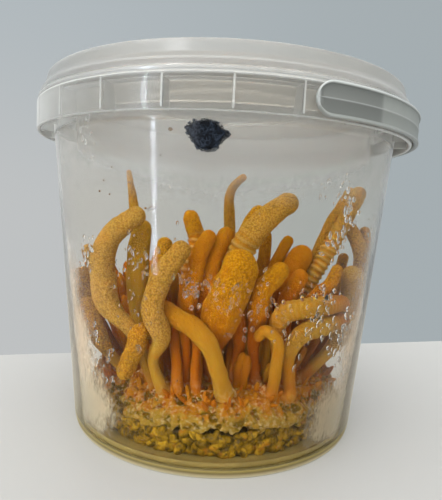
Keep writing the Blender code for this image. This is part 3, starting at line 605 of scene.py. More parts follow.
class Signal:
    """One output socket of a node tree, with the arithmetic that adds Math nodes for its values."""

    def __init__(self, tree, socket):
        self.tree = tree
        self.socket = socket

    def maths(self, operation, *values):
        """A Math node that does an operation on signals or plain numbers."""
        return self.tree.node("ShaderNodeMath", {"operation": operation}, dict(enumerate(values)))

    def __add__(self, other):
        return self.maths("ADD", self, other)

    def __radd__(self, other):
        return self.maths("ADD", other, self)

    def __sub__(self, other):
        return self.maths("SUBTRACT", self, other)

    def __rsub__(self, other):
        return self.maths("SUBTRACT", other, self)

    def __mul__(self, other):
        return self.maths("MULTIPLY", self, other)

    def __rmul__(self, other):
        return self.maths("MULTIPLY", other, self)

    def __truediv__(self, other):
        return self.maths("DIVIDE", self, other)

    def __pow__(self, other):
        return self.maths("POWER", self, other)

    def clipped(self):
        """Held between 0 and 1."""
        return self.tree.node("ShaderNodeClamp", {}, {"Value": self})

    def between(self, low, high):
        """0 below low, 1 above high, with an eased rise."""
        return self.tree.node("ShaderNodeMapRange", {"interpolation_type": "SMOOTHSTEP"},
                              {"Value": self, "From Min": low, "From Max": high})


class NodeMaker:
    """Adds nodes to one node tree, with their settings and what feeds their sockets."""

    def __init__(self, tree):
        self.nodes = tree.nodes
        self.links = tree.links

    def put(self, socket, value):
        """Link a signal into a socket, or set the socket's own value."""
        if isinstance(value, Signal):
            self.links.new(value.socket, socket)
        elif socket.type == "RGBA" and len(value) == 3:
            socket.default_value = (*value, 1.0)
        else:
            socket.default_value = value

    def node(self, kind, settings=None, sockets=None, output=0):
        """Add a node of a type, with its settings first and then its sockets' values or links."""
        node = self.nodes.new(kind)
        for label, value in (settings or {}).items():
            if label == "stops":
                self.set_stops(node.color_ramp, value)
            else:
                setattr(node, label, value)
        for label, value in (sockets or {}).items():
            self.put(node.inputs[label], value)
        return Signal(self, node.outputs[output])

    def set_stops(self, ramp, stops):
        """Give a colour ramp its places and colours."""
        for k, (place, colour) in enumerate(stops):
            stop = ramp.elements[k] if k < 2 else ramp.elements.new(place)
            stop.position = place
            stop.color = (*colour, 1.0)

    def parts(self, vector):
        """The three numbers of a vector."""
        first = self.node("ShaderNodeSeparateXYZ", {}, {"Vector": vector})
        return [Signal(self, socket) for socket in first.socket.node.outputs]

    def mix(self, first, second, share):
        """Colour mixed from first to second."""
        return self.node("ShaderNodeMix", {"data_type": "RGBA", "clamp_factor": True},
                         {0: share, 6: first, 7: second}, 2)


class Finish(NodeMaker):
    """A material whose nodes are written as expressions."""

    def __init__(self, name, **constants):
        self.material = bpy.data.materials.new(name)
        self.material.use_nodes = True
        super().__init__(self.material.node_tree)
        self.shader = self.nodes["Principled BSDF"]
        self.output = self.nodes["Material Output"]
        for label, value in constants.items():
            self.put(self.shader.inputs[label.replace("_", " ")], value)

    def place(self):
        """Where the shaded point is, in metres."""
        return self.node("ShaderNodeTexCoord", output="Object")

    def height(self):
        """Height above the table in millimetres."""
        return self.parts(self.place())[2] * (1.0 / MM)

    def radius(self):
        """Distance from the tub's axis in millimetres."""
        x, y, _ = self.parts(self.place())
        return (x * x + y * y) ** 0.5 * (1.0 / MM)

    def attribute(self, label):
        """The mesh's own mark of that name."""
        return self.node("ShaderNodeAttribute", {"attribute_name": label}, output="Fac")

    def noise(self, size, detail=3.0, roughness=0.55, stretch=None):
        """Blender's noise with features of a size in millimetres, from 0 to 1."""
        vector = self.place()
        if stretch:
            vector = self.node("ShaderNodeMapping", {}, {"Vector": vector, "Scale": stretch})
        return self.node("ShaderNodeTexNoise", {}, {"Vector": vector, "Scale": 1.0 / (size * MM),
                                                    "Detail": detail, "Roughness": roughness})

    def cells(self, size, feature="F1"):
        """Distance to the nearest of scattered points, a cell's side being size millimetres."""
        return self.node("ShaderNodeTexVoronoi", {"feature": feature},
                         {"Vector": self.place(), "Scale": 1.0 / (size * MM)}, "Distance")

    def bump(self, height, distance, strength=1.0):
        """A normal that shows a height; distance is in millimetres."""
        return self.node("ShaderNodeBump", {}, {"Height": height, "Distance": distance * MM,
                                                "Strength": strength})

    def feed(self, label, value):
        """Set or link a socket of the main shader."""
        self.put(self.shader.inputs[label], value)

    def haze(self, share, colour, roughness=0.5, alpha=1.0):
        """Mix a second shader, one that doesn't transmit, into the first by a share."""
        clear = Signal(self, self.shader.outputs[0])
        other = self.node("ShaderNodeBsdfPrincipled", {},
                          {"Base Color": colour, "Alpha": alpha, "Roughness": roughness})
        mixed = self.node("ShaderNodeMixShader", {}, {0: share, 1: clear, 2: other})
        self.put(self.output.inputs["Surface"], mixed)


def clear_plastic(name, tint, ior, roughness, haze, edge_haze, haze_and_highlight_bands, frosted=None, tones=None):
    """Clear polypropylene: a little wavy from the mould and faintly milky, more so where it is seen edge-on.

    Each band adds haze between two heights, as milkiness or as a painted highlight line: lowest, full from,
    full to, highest, share, and smallest radius. Frosted gives the heights between which the surface turns
    rough, how rough it is, how much its colour is darkened by the rim in front as painted shade, how glossy
    it is and how much haze it has where it turns away. Tones colour the haze by height."""
    f = Finish(name, Base_Color=tint, IOR=ior, Transmission_Weight=1.0, Coat_Roughness=0.03, Coat_IOR=1.35)
    height = f.height()
    radius = f.radius()
    cloud = haze * (0.6 + 0.8 * f.noise(9.0, 4.0))
    facing = f.node("ShaderNodeLayerWeight", {}, {"Blend": 0.5}, "Facing")
    cloud = cloud + edge_haze * facing ** 4.0
    for lowest, full_from, full_to, highest, share, smallest in haze_and_highlight_bands:
        band = height.between(lowest, full_from) * (1.0 - height.between(full_to, highest))
        cloud = cloud + share * band * radius.between(smallest - 1.0, smallest)
    rough = roughness + 0.04 * f.noise(5.0, 3.0)
    if frosted:
        low, high, most, front_shade, gloss, turned_haze = frosted
        frosting = height.between(low, high)
        rough = rough + most * frosting
        depth = f.parts(f.place())[1]
        # painted shade: the frosted rim is darker in colour on the front half
        dark = frosting * radius.between(56.0, 60.0) * (1.0 - depth.between(-0.015, 0.015))
        f.feed("Base Color", f.mix(tint, tuple(c * front_shade for c in tint), dark))
        f.feed("Coat Weight", frosting * gloss)
        cloud = cloud + turned_haze * frosting * facing ** 2.0
    f.feed("Roughness", rough)
    f.feed("Normal", f.bump(f.noise(14.0, 2.0), 0.12, 0.6))
    tone = HAZE_COLOUR
    if tones:
        stops = [(level / WALL_TONES_TOP, colour) for level, colour in tones]
        tone = f.node("ShaderNodeValToRGB", {"stops": stops}, {"Fac": height / WALL_TONES_TOP})
    f.haze(cloud.clipped(), tone, 0.5)
    return f.material


def handle_plastic(colour):
    """Grey-green satin plastic, with painted shade in its sunken middle and a painted highlight along its
    raised rim.
    """
    f = Finish("handle_plastic", Specular_IOR_Level=0.45)
    patches = f.noise(12.0, 4.0)
    light = tuple(min(1.0, c * 1.15) for c in colour)
    base = f.mix(colour, light, patches.between(0.35, 0.75))
    # painted shade in the sunken middle, and a painted highlight along the rim
    base = f.mix(base, tuple(c * 0.64 for c in colour), f.attribute("recess"))
    base = f.mix(base, RIM_HIGHLIGHT, f.attribute("rim") * 0.75)
    f.feed("Base Color", base)
    f.feed("Roughness", 0.36 + 0.16 * f.noise(3.0, 4.0))
    f.feed("Normal", f.bump(f.noise(0.5, 2.0), 0.02, 0.5))
    return f.material


def wad_fibre(colour):
    """Dark blue felted fibre: a net of pale strands over near-black tufts, greyer outside towards its left
    and along its upper rim, and frayed at its edge.
    """
    f = Finish("wad_fibre", Roughness=0.95, Specular_IOR_Level=0.1, Sheen_Weight=0.15, Sheen_Roughness=0.5)
    tufts = f.noise(1.3, 5.0, 0.7)
    strands = f.cells(1.0, "DISTANCE_TO_EDGE")
    light = (0.034, 0.046, 0.070)
    thin = f.attribute("thin")
    base = f.mix(tuple(c * 0.25 for c in colour), colour, tufts.between(0.42, 0.58))
    base = f.mix(base, light, (tufts + 0.20 * thin).between(0.52, 0.70))
    net = (1.0 - strands.between(0.02, 0.14)) * f.noise(2.0, 3.0).between(0.40, 0.60)
    base = f.mix(base, light, net * 0.8)
    base = f.mix(base, GREY_LEFT_AND_TOP, thin * (0.25 + 0.9 * tufts.between(0.35, 0.65)))
    f.feed("Base Color", base)
    f.feed("Alpha", 1.0 - f.attribute("frayed") * f.noise(0.8, 3.0, 0.6).between(0.38, 0.52))
    f.feed("Normal", f.bump(tufts, 0.30))
    return f.material


def wet_grain(colours):
    """Cooked grain soaked in liquid: olive, yellow and brown kernels that run together, wet in spots, with
    painted shade where the core shows between them.
    """
    f = Finish("wet_grain", Coat_Roughness=0.05, Specular_IOR_Level=0.08)
    kernel = f.attribute("kernel")
    dark, olive, pale = colours
    blotch = f.noise(2.4, 5.0, 0.65)
    base = f.mix(dark, olive, (kernel * 0.6 + 1.4 * (f.noise(1.3, 4.0, 0.6) - 0.28)).between(0.15, 0.60))
    base = f.mix(base, pale, kernel.between(0.45, 0.9) * f.noise(1.6, 3.0).between(0.44, 0.58))
    base = f.mix(base, dark, blotch.between(0.50, 0.60) * 0.9)
    base = f.mix(base, ORANGE_STAIN, f.noise(4.5, 3.0).between(0.56, 0.70) * 0.7)
    # painted shade where the core shows between the kernels
    base = f.mix(base, tuple(c * 0.5 for c in dark), f.attribute("gap") * 0.9)
    f.feed("Base Color", base)
    f.feed("Roughness", 0.40 + 0.25 * f.noise(1.5, 3.0))
    f.feed("Coat Weight", f.noise(1.2, 2.0).between(0.56, 0.66))
    f.feed("Normal", f.bump(f.noise(0.9, 3.0), 0.25, 1.0))
    return f.material


def mycelium(colours):
    """Felted mycelium: cream lumps stained orange and rust by the stems, olive where it is open, and a
    painted olive shade in its folds and dents.
    """
    f = Finish("mycelium", Subsurface_Weight=0.1, Subsurface_Scale=0.001, Specular_IOR_Level=0.08,
               Coat_Roughness=0.10, Specular_Tint=(1.0, 0.9, 0.6))
    cream, orange, rust, olive, white = colours
    height = f.height()
    broad = f.noise(3.0, 5.0, 0.65)
    small = f.noise(1.1, 4.0, 0.65)
    other = f.noise(2.0, 4.0, 0.62, (1.0, 1.0, 1.5))
    streaks = f.noise(1.5, 3.0, 0.6, (1.0, 1.0, 0.32))
    top = height.between(11.5, 17.5)
    near = f.attribute("rust")
    base = f.mix(cream, orange, (0.55 * near + 0.45 * top + 2.4 * (broad - 0.5) - 0.05).between(0.05, 0.60))
    # olive: the grain's own colour in the holes, and painted shade in the folds and dents
    base = f.mix(base, olive, (2.2 * (other - 0.5) + 0.75 * f.attribute("crease") - 0.25 * top
                               + 0.9 * f.attribute("hole") + 0.08).between(0.18, 0.60))
    base = f.mix(base, rust, (streaks.between(0.52, 0.66) * top * 0.8
                              + (0.8 * near + 1.6 * (small - 0.5)).between(0.55, 0.95) * 0.6).clipped())
    base = f.mix(base, white, (0.5 * f.attribute("fuzz") + 0.8 * (0.6 - broad) + 0.25).clipped()
                 * small.between(0.52, 0.60))
    f.feed("Base Color", base)
    f.feed("Roughness", 0.75 - 0.30 * f.attribute("hole"))
    f.feed("Coat Weight", f.noise(1.4, 2.0).between(0.60, 0.68) * 0.8)
    f.feed("Normal", f.bump(0.6 * f.noise(0.7, 4.0, 0.65) + small, 0.45, 1.0))
    return f.material


def liquid(colour):
    """Thin olive-gold liquid."""
    f = Finish("culture_liquid", IOR=1.30, Transmission_Weight=0.6, Roughness=0.10)
    f.feed("Base Color", f.mix(colour, tuple(c * 0.6 for c in colour), f.noise(6.0, 2.0)))
    return f.material


def water():
    """Clear water drops."""
    f = Finish("water_drops", Base_Color=(0.97, 0.98, 1.0), IOR=1.333, Transmission_Weight=1.0)
    f.feed("Roughness", 0.02 * f.noise(0.8, 1.0))
    return f.material


def dark_speck():
    """Brown specks of dried spore dust."""
    f = Finish("brown_specks", Roughness=0.9)
    f.feed("Base Color", f.mix((0.14, 0.06, 0.01), (0.28, 0.14, 0.02), f.noise(0.3, 2.0)))
    return f.material


def fog(colour, tan):
    """Fine condensation: a whitish film in runny patches, tan low down and paler higher up.

    It blurs what is behind it, and its mark "solid" says how much of it is too thick to be seen through."""
    f = Finish("condensation", Roughness=0.65, IOR=1.2, Transmission_Weight=0.9)
    fine = f.noise(0.9, 3.0, 0.6, (1.0, 1.0, 0.45))
    broad = f.noise(5.0, 4.0, 0.6, (1.0, 1.0, 0.6))
    cover = f.attribute("fog") + f.attribute("streaky") * (broad + fine - 1.0)
    level = f.height() + 10.0 * (broad - 0.5)
    base = f.mix(tan, colour, level.between(14.0, 30.0))
    base = f.mix(base, THIN_FOG, level.between(46.0, 76.0))
    alpha = cover.between(0.28, 1.15) * f.attribute("most")
    f.feed("Base Color", base)
    f.feed("Alpha", alpha)
    f.haze(f.attribute("solid"), base, 0.65, alpha)
    return f.material


def flesh(name, colours, extra_crevice_shade):
    """Cordyceps flesh: pale smooth stem, granular ochre club, painted shade of deep orange where the clubs
    stand close, whitish foot.

    The grains are domes round scattered points, painted lighter on top as a highlight; between them the
    colour drops to an olive brown as painted shade. On a ringed neck the crests are painted pale as a
    highlight and the grooves a deep orange as painted shade."""
    stem, ochre, bright, deep, rust, foot = colours
    f = Finish(name, Subsurface_Weight=0.2, Subsurface_Radius=(1.0, 0.4, 0.08), Subsurface_Scale=0.0010,
               Specular_IOR_Level=0.015, Sheen_Weight=0.12, Sheen_Roughness=0.4, Sheen_Tint=(1.0, 0.62, 0.12))
    fertile = f.attribute("fertile")
    crowd = f.attribute("crowd")
    patches = f.noise(5.5, 3.0)
    beads = f.cells(0.54)
    tan = f.attribute("tan")
    grit = f.noise(0.45, 3.0, 0.65)
    speckle = 1.1 * (1.0 - beads) + 1.1 * (grit - 0.5) + 0.25 * (f.attribute("grain") - 0.5)
    # painted shade between the grains, and a painted highlight on their tops
    club = f.mix(PIT_SHADE, ochre, speckle.between(0.22, 0.66))
    club = f.mix(club, bright, (speckle + 0.5 * (patches - 0.5)).between(0.60, 1.0) * 0.85)
    club = f.mix(club, TAN_SKIN, (tan * (0.25 + 0.75 * speckle)).clipped())
    club = f.mix(club, deep, (patches - 0.1).between(0.42, 0.75) * 0.35)
    fibres = f.noise(1.5, 4.0, 0.6, (1.0, 1.0, 0.25))
    skin = f.mix(stem, ochre, f.noise(2.6, 4.0).between(0.45, 0.80) * 0.7)
    skin = f.mix(skin, deep, fibres.between(0.54, 0.70) * 0.5)
    skin = f.mix(skin, club, fertile)
    skin = f.mix(skin, stem, f.attribute("pale") * (0.4 + 0.5 * patches))
    # painted shade where the clubs stand close: deep orange, and rust where they are closest
    skin = f.mix(skin, deep, (crowd * 0.85 + 0.4 * (patches - 0.5) - tan).clipped())
    skin = f.mix(skin, rust, (crowd * 1.6 - 0.95 + extra_crevice_shade).clipped() * 0.8)
    crest = f.attribute("crest")
    # painted highlight on the ring crests, painted shade in the grooves
    skin = f.mix(skin, CREST_HIGHLIGHT, (crest * 0.7).clipped())
    skin = f.mix(skin, deep, (crest * -0.7).clipped())
    skin = f.mix(skin, foot, f.attribute("foot") * f.noise(1.2, 3.0).between(0.42, 0.62))
    f.feed("Base Color", skin)
    f.feed("Roughness", 0.55 + 0.2 * fertile)
    f.feed("Normal", f.bump((1.0 - beads) * (0.25 + 0.75 * fertile) + 0.5 * grit, 0.25, 0.9))
    return f.material


# What a user would change

class TubSettings(bpy.types.PropertyGroup):
    steps: IntProperty(name="Steps round", description="Corners round the tub and lid", default=256, min=48)
    wall_radius: FloatProperty(name="Wall radius", description="Outer radius of the wall under the collar",
                               default=0.061, subtype="DISTANCE", unit="LENGTH")
    rim_height: FloatProperty(name="Rim height", description="Height of the tub without its lid",
                              default=0.1098, subtype="DISTANCE", unit="LENGTH")
    lid_top: FloatProperty(name="Lid top", description="Height of the closed tub",
                           default=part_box("lid")[1].z, subtype="DISTANCE", unit="LENGTH")
    tint: FloatVectorProperty(name="Plastic tint", description="Colour of the clear plastic",
                              default=(0.985, 0.96, 0.915), size=3, subtype="COLOR", min=0, max=1)
    milkiness: FloatProperty(name="Milkiness", description="How cloudy the wall is", default=0.0015,
                             min=0, max=1, subtype="FACTOR")
    edge_milkiness: FloatProperty(name="Edge-on milkiness", description="How cloudy the wall is edge-on",
                                  default=0.45, min=0, max=1, subtype="FACTOR")
    collar_milkiness: FloatProperty(name="Collar milkiness", description="How cloudy the collar is",
                                    default=0.06, min=0, max=1, subtype="FACTOR")
    lid_milkiness: FloatProperty(name="Lid milkiness", description="How cloudy the lid is", default=0.05,
                                 min=0, max=1, subtype="FACTOR")
    handle_colour: FloatVectorProperty(name="Handle", description="Colour of the handle",
                                       default=(0.27, 0.285, 0.27), size=3, subtype="COLOR", min=0, max=1)
    wad_colour: FloatVectorProperty(name="Breather wad", description="Colour of the wad in the breather",
                                    default=(0.007, 0.011, 0.020), size=3, subtype="COLOR", min=0, max=1)


class DewSettings(bpy.types.PropertyGroup):
    mist_drops: IntProperty(name="Scattered drops", description="Small drops all over the wall", default=170)
    cluster_fill: FloatProperty(name="Cluster fill", description="How many drops a cluster has", default=1.8,
                                min=0.1, max=4.0)
    seed: IntProperty(name="Seed", description="Changes where the drops fall", default=11)
    fog_colour: FloatVectorProperty(name="Fog", description="Colour of the condensation",
                                    default=(0.88, 0.70, 0.49), size=3, subtype="COLOR", min=0, max=1)
    low_fog_colour: FloatVectorProperty(name="Low fog", description="Colour of the condensation by the cake",
                                        default=(0.72, 0.63, 0.45), size=3, subtype="COLOR", min=0, max=1)
    fog_strength: FloatProperty(name="Fog strength", description="How much the thickest condensation hides",
                                default=0.78, min=0, max=1, subtype="FACTOR")


class BedSettings(bpy.types.PropertyGroup):
    kernels: IntProperty(name="Kernels", description="Grain kernels that show round the cake", default=720)
    kernel_length: FloatProperty(name="Kernel length", description="Half length of a kernel", default=0.0024,
                                 subtype="DISTANCE", unit="LENGTH")
    buds: IntProperty(name="Buds", description="Small buds between the stems", default=620)
    stalks: IntProperty(name="Young stalks", description="Thin stalks between the fruit bodies", default=700)
    cream: FloatVectorProperty(name="Mycelium", description="Colour of the mycelium",
                               default=(0.34, 0.205, 0.022), size=3, subtype="COLOR", min=0, max=1)
    olive: FloatVectorProperty(name="Wet grain", description="Colour of the soaked grain",
                               default=(0.26, 0.145, 0.002), size=3, subtype="COLOR", min=0, max=1)


class ClubSettings(bpy.types.PropertyGroup):
    mesh_step: FloatProperty(name="Mesh step", description="Distance between corners on the front clubs",
                             default=0.00045, subtype="DISTANCE", unit="LENGTH", precision=5)
    stem: FloatVectorProperty(name="Stem", description="Colour of the smooth stems",
                              default=(0.46, 0.255, 0.022), size=3, subtype="COLOR", min=0, max=1)
    ochre: FloatVectorProperty(name="Club", description="Main colour of the clubs",
                               default=(0.45, 0.190, 0.003), size=3, subtype="COLOR", min=0, max=1)
    # Painted highlight on the tops of the clubs' grains.
    bright: FloatVectorProperty(name="Club highlights", description="Colour of the clubs' pale grains",
                                default=(0.68, 0.375, 0.010), size=3, subtype="COLOR", min=0, max=1)
    # Deep orange: the clubs' own patches and stem fibres, and painted shade between close-set clubs and in
    # ring grooves.
    deep: FloatVectorProperty(name="Deep orange", description="Colour between crowded clubs",
                              default=(0.50, 0.150, 0.001), size=3, subtype="COLOR", min=0, max=1)
    # Rust: painted shade in the deepest crevices between close-set clubs.
    rust: FloatVectorProperty(name="Rust", description="Colour of the deepest crevices",
                              default=(0.27, 0.028, 0.0003), size=3, subtype="COLOR", min=0, max=1)


class StageSettings(bpy.types.PropertyGroup):
    camera_distance: FloatProperty(name="Camera distance", description="From the tub's axis", default=0.173,
                                   subtype="DISTANCE", unit="LENGTH")
    camera_height: FloatProperty(name="Camera height", description="Above the table", default=0.0777,
                                 subtype="DISTANCE", unit="LENGTH")
    pitch: FloatProperty(name="Pitch", description="Camera's tilt up", default=-0.094, subtype="ANGLE",
                         unit="ROTATION")
    yaw: FloatProperty(name="Yaw", description="Camera's turn to the right", default=0.004, subtype="ANGLE",
                       unit="ROTATION")
    roll: FloatProperty(name="Roll", description="Camera's lean", default=0.0463, subtype="ANGLE",
                        unit="ROTATION")
    wall_left: FloatVectorProperty(name="Backdrop left", description="Colour behind, on the left",
                                   default=(0.52, 0.535, 0.54), size=3, subtype="COLOR", min=0, max=1)
    wall_top: FloatVectorProperty(name="Backdrop top", description="Colour behind, high up on the left",
                                  default=(0.44, 0.485, 0.51), size=3, subtype="COLOR", min=0, max=1)
    wall_right: FloatVectorProperty(name="Backdrop right", description="Colour behind, on the right",
                                    default=(0.375, 0.42, 0.44), size=3, subtype="COLOR", min=0, max=1)
    sky: FloatProperty(name="Overhead light", description="Brightness overhead", default=1.62, min=0)
    key: FloatProperty(name="Front light", description="Brightness of the soft light in front", default=2.9,
                       min=0)
    glints: FloatProperty(name="Glints", description="Power of the small light behind the wet glints",
                          default=0.24, min=0, unit="POWER")
    streak: FloatProperty(name="Streak", description="Power of the light that draws the streak on the wall",
                          default=0.6, min=0, unit="POWER")
    table: FloatVectorProperty(name="Table", description="Colour of the table", default=(0.492, 0.492, 0.484),
                               size=3, subtype="COLOR", min=0, max=1)


# The stage

def camera_axes(s):
    """The camera's right, up and forward directions from its pitch, yaw and roll."""
    ahead = np.array([math.sin(s.yaw) * math.cos(s.pitch), math.cos(s.yaw) * math.cos(s.pitch),
                      math.sin(s.pitch)])
    right = np.array([math.cos(s.yaw), -math.sin(s.yaw), 0.0])
    up = np.cross(right, ahead)
    c, n = math.cos(s.roll), math.sin(s.roll)
    return c * right + n * up, c * up - n * right, ahead


def add_camera(s):
    """The photo's camera: its axes are the columns of its matrix, and it looks along its own -z."""
    data = bpy.data.cameras.new("camera")
    data.sensor_width = SENSOR_WIDTH
    data.lens = FOCAL_PIXELS / PICTURE_HEIGHT * SENSOR_WIDTH
    data.clip_start = 0.005
    camera = bpy.data.objects.new("camera", data)
    bpy.context.scene.collection.objects.link(camera)
    right, up, ahead = camera_axes(s)
    turn = Matrix(np.stack([right, up, -ahead], axis=1)).to_4x4()
    camera.matrix_world = Matrix.Translation((0.0, -s.camera_distance, s.camera_height)) @ turn
    bpy.context.scene.camera = camera


def add_world(s):
    """Soft studio light: backdrop colours behind, dim in front, a broad glow in front and overhead."""
    world = bpy.data.worlds.new("studio")
    bpy.context.scene.world = world
    world.use_nodes = True
    studio = NodeMaker(world.node_tree)
    x, y, z = studio.parts(studio.node("ShaderNodeTexCoord", output="Generated"))
    left = studio.mix(tuple(s.wall_left), tuple(s.wall_top), z.between(-0.05, 0.42))
    backdrop = studio.mix(left, tuple(s.wall_right), x.between(-0.45, 0.40))
    colour = studio.mix((0.20, 0.20, 0.19), backdrop, y.between(-0.98, -0.70))
    colour = studio.mix(colour, (s.sky, s.sky, s.sky * 0.98), z.between(0.46, 0.85))
    glow = (y * -0.62 + z * 0.75 + x * -0.22).between(0.60, 0.98)
    colour = studio.mix(colour, (s.key, s.key * 0.99, s.key * 0.96), glow)
    studio.put(studio.nodes["Background"].inputs["Color"], colour)


def add_light(name, place, aim_height, power, size, colour=(1.0, 1.0, 1.0)):
    """An area light that shows only on what is glossy or clear, and not to the camera."""
    data = bpy.data.lights.new(name, "AREA")
    data.shape = "RECTANGLE"
    data.size, data.size_y = size
    data.energy = power
    data.color = colour
    light = bpy.data.objects.new(name, data)
    bpy.context.scene.collection.objects.link(light)
    place = Vector(place)
    aim = (place - Vector((0, 0, aim_height))).to_track_quat("Z", "Y")
    light.matrix_world = Matrix.Translation(place) @ aim.to_matrix().to_4x4()
    light.visible_camera = False
    light.visible_diffuse = False
    return light


def add_lights(s):
    """A narrow upright light that draws the streak down the wall, and a small high one for wet glints."""
    strip = add_light("strip_light", (-0.1215, -0.166, 0.095), 0.095, s.streak, (0.010, 0.170),
                      (0.74, 0.86, 1.0))
    strip.visible_transmission = False
    add_light("glint_light", (-0.16, -0.26, 0.40), 0.05, s.glints, (0.05, 0.05))


def add_table(s):
    """A white slab whose far edge crosses the picture behind the tub, through two places on the table."""
    (left_x, left_y), (right_x, right_y) = (-106.6, 41.1), (144.6, 102.3)
    slope = (right_y - left_y) / (right_x - left_x)
    side, near, thick = 1200.0, -1500.0, 30.0
    far_left, far_right = (left_y + (x - left_x) * slope for x in (-side, side))
    top = np.array([(-side, far_left, 0), (side, far_right, 0), (side, near, 0), (-side, near, 0)])
    points = np.concatenate([top, top - (0, 0, thick)])
    faces = [np.array([(0, 1, 2, 3), (7, 6, 5, 4), (0, 4, 5, 1), (1, 5, 6, 2), (2, 6, 7, 3), (3, 7, 4, 0)])]
    f = Finish("table_top", Roughness=0.5, Specular_IOR_Level=0.3)
    f.feed("Base Color", f.mix(tuple(s.table), tuple(c * 0.97 for c in s.table), f.noise(60.0, 3.0)))
    table = fill_mesh("table", points, faces, f.material)
    table.data.shade_flat()


class CORDYCEPS_OT_stage(bpy.types.Operator):
    """Make the camera, the soft light and the white table"""
    bl_idname = "cordyceps.stage"
    bl_label = "Stage"

    def execute(self, context):
        s = context.scene.cordyceps_stage
        context.scene.view_settings.view_transform = "Standard"
        add_camera(s)
        add_world(s)
        add_lights(s)
        add_table(s)
        return {"FINISHED"}


# Tub, lid, handle and wad

def tub_section(s):
    """The tub's section from the axis under the floor, out and up, and back along the inside."""
    web = 108.6
    rim = s.rim_height / MM
    return rounded([
        (0.0, 1.4), (49.65, 1.4), (50.25, 0.0), (52.35, 0.0), (tub_inner_radius(FLOOR_TOP) + 1.0, FLOOR_TOP),
        (s.wall_radius / MM, COLLAR_HEIGHT), (tub_inner_radius(web) + 1.0, web), (65.5, web),
        (65.5, COLLAR_HEIGHT), (66.5, COLLAR_HEIGHT), (66.5, rim - 0.4), (66.1, rim),
        (tub_inner_radius(rim), rim), (tub_inner_radius(FLOOR_TOP), FLOOR_TOP), (0.0, FLOOR_TOP)], 0.4, 3)


def radial_tool(azimuth_deg, height, wide, high, start, end, sides=24):
    """A bar that points outwards from radius start to end, round or square by its number of sides."""
    turn = (np.arange(sides) + 0.5) * math.tau / sides
    grow = 1.0 / math.cos(math.pi / sides) if sides == 4 else 1.0
    out = direction(azimuth_deg)
    side = np.array([-out[1], out[0], 0.0])
    middle = np.array([0.0, 0.0, height])
    ring = np.cos(turn)[:, None] * side * wide * grow + np.sin(turn)[:, None] * (0, 0, high * grow) + middle
    rings = np.stack([ring + out * start, ring + out * end])
    return closed_tube(rings, middle + out * start, middle + out * end)


def cut_or_join(item, shape, operation, finish):
    """Apply a Boolean with a helper shape of its own finish and remove the helper."""
    helper = fill_mesh("helper", *shape, finish)
    modifier = item.modifiers.new("helper", "BOOLEAN")
    modifier.operation = operation
    modifier.object = helper
    modifier.solver = "EXACT"
    modifier.material_mode = "TRANSFER"
    evaluated = item.evaluated_get(bpy.context.evaluated_depsgraph_get())
    mesh = bpy.data.meshes.new_from_object(evaluated)
    item.modifiers.clear()
    item.data = mesh
    bpy.data.objects.remove(helper)


# Milky bands, each as clear_plastic takes them: painted highlight lines along the collar's lower and upper
# edge, the foot, made cloudy to carry its painted colours, and the wall above the clubs; then painted
# highlight lines along the lid's skirt, its step and its rim.
WALL_MILK_AND_HIGHLIGHT_BANDS = [(99.9, 100.3, 100.7, 101.1, 0.38, 64.5), (108.9, 109.4, 111.0, 112.0, 0.28, 64.5),
              (-2.0, -1.0, 2.5, 3.2, 0.85, 1.0), (77.0, 90.0, 99.0, 99.6, 0.13, 1.0)]
LID_HIGHLIGHT_BANDS = [(109.6, 110.0, 110.8, 111.2, 0.36, 62.0), (112.6, 113.0, 113.4, 113.8, 0.20, 64.6),
             (117.3, 117.7, 119.0, 120.0, 0.24, 61.0)]
# Where the collar and the lid are frosted, and how, in the order that clear_plastic takes it.
COLLAR_FROST = (99.6, 101.0, 0.22, 0.79, 0.12, 0.62)
LID_FROST = (110.0, 112.0, 0.20, 0.86, 0.12, 0.0)


class CORDYCEPS_OT_tub(bpy.types.Operator):
    """Make the clear tub with its ribs, pins and breather hole"""
    bl_idname = "cordyceps.tub"
    bl_label = "Tub"

    def execute(self, context):
        s = context.scene.cordyceps_tub
        collar = (99.2, 101.2, 112.0, 113.0, s.collar_milkiness, 1.0)
        finish = clear_plastic("clear_wall", tuple(s.tint), 1.12, 0.015, s.milkiness, s.edge_milkiness,
                               [collar, *WALL_MILK_AND_HIGHLIGHT_BANDS], COLLAR_FROST, WALL_TONES)
        milky = clear_plastic("milky_ribs", tuple(s.tint), 1.15, 0.05, 0.50, 0.0, [])
        tub = fill_mesh("tub_shell", *turned(tub_section(s), s.steps), finish)
        ribs = [radial_tool(1.5 + 15.0 * k, 105.3, 0.24, 3.9, 60.75, 66.53, 4) for k in range(24)]
        pins = [radial_tool(azimuth, PIVOT_HEIGHT, 1.9, 1.9, 66.0, 67.8) for azimuth in PIVOT_AZIMUTHS]
        cut_or_join(tub, joined(ribs + pins), "UNION", milky)
        hole = radial_tool(BREATHER_AZIMUTH, BREATHER_HEIGHT, 3.6, 3.6, 53.0, 64.0, 48)
        cut_or_join(tub, hole, "DIFFERENCE", finish)
        tub.data.shade_smooth()
        tub.data.set_sharp_from_angle(angle=SHARP_ANGLE)
        place_piece(tub, "root", "clear_plastic", "tub")
        return {"FINISHED"}


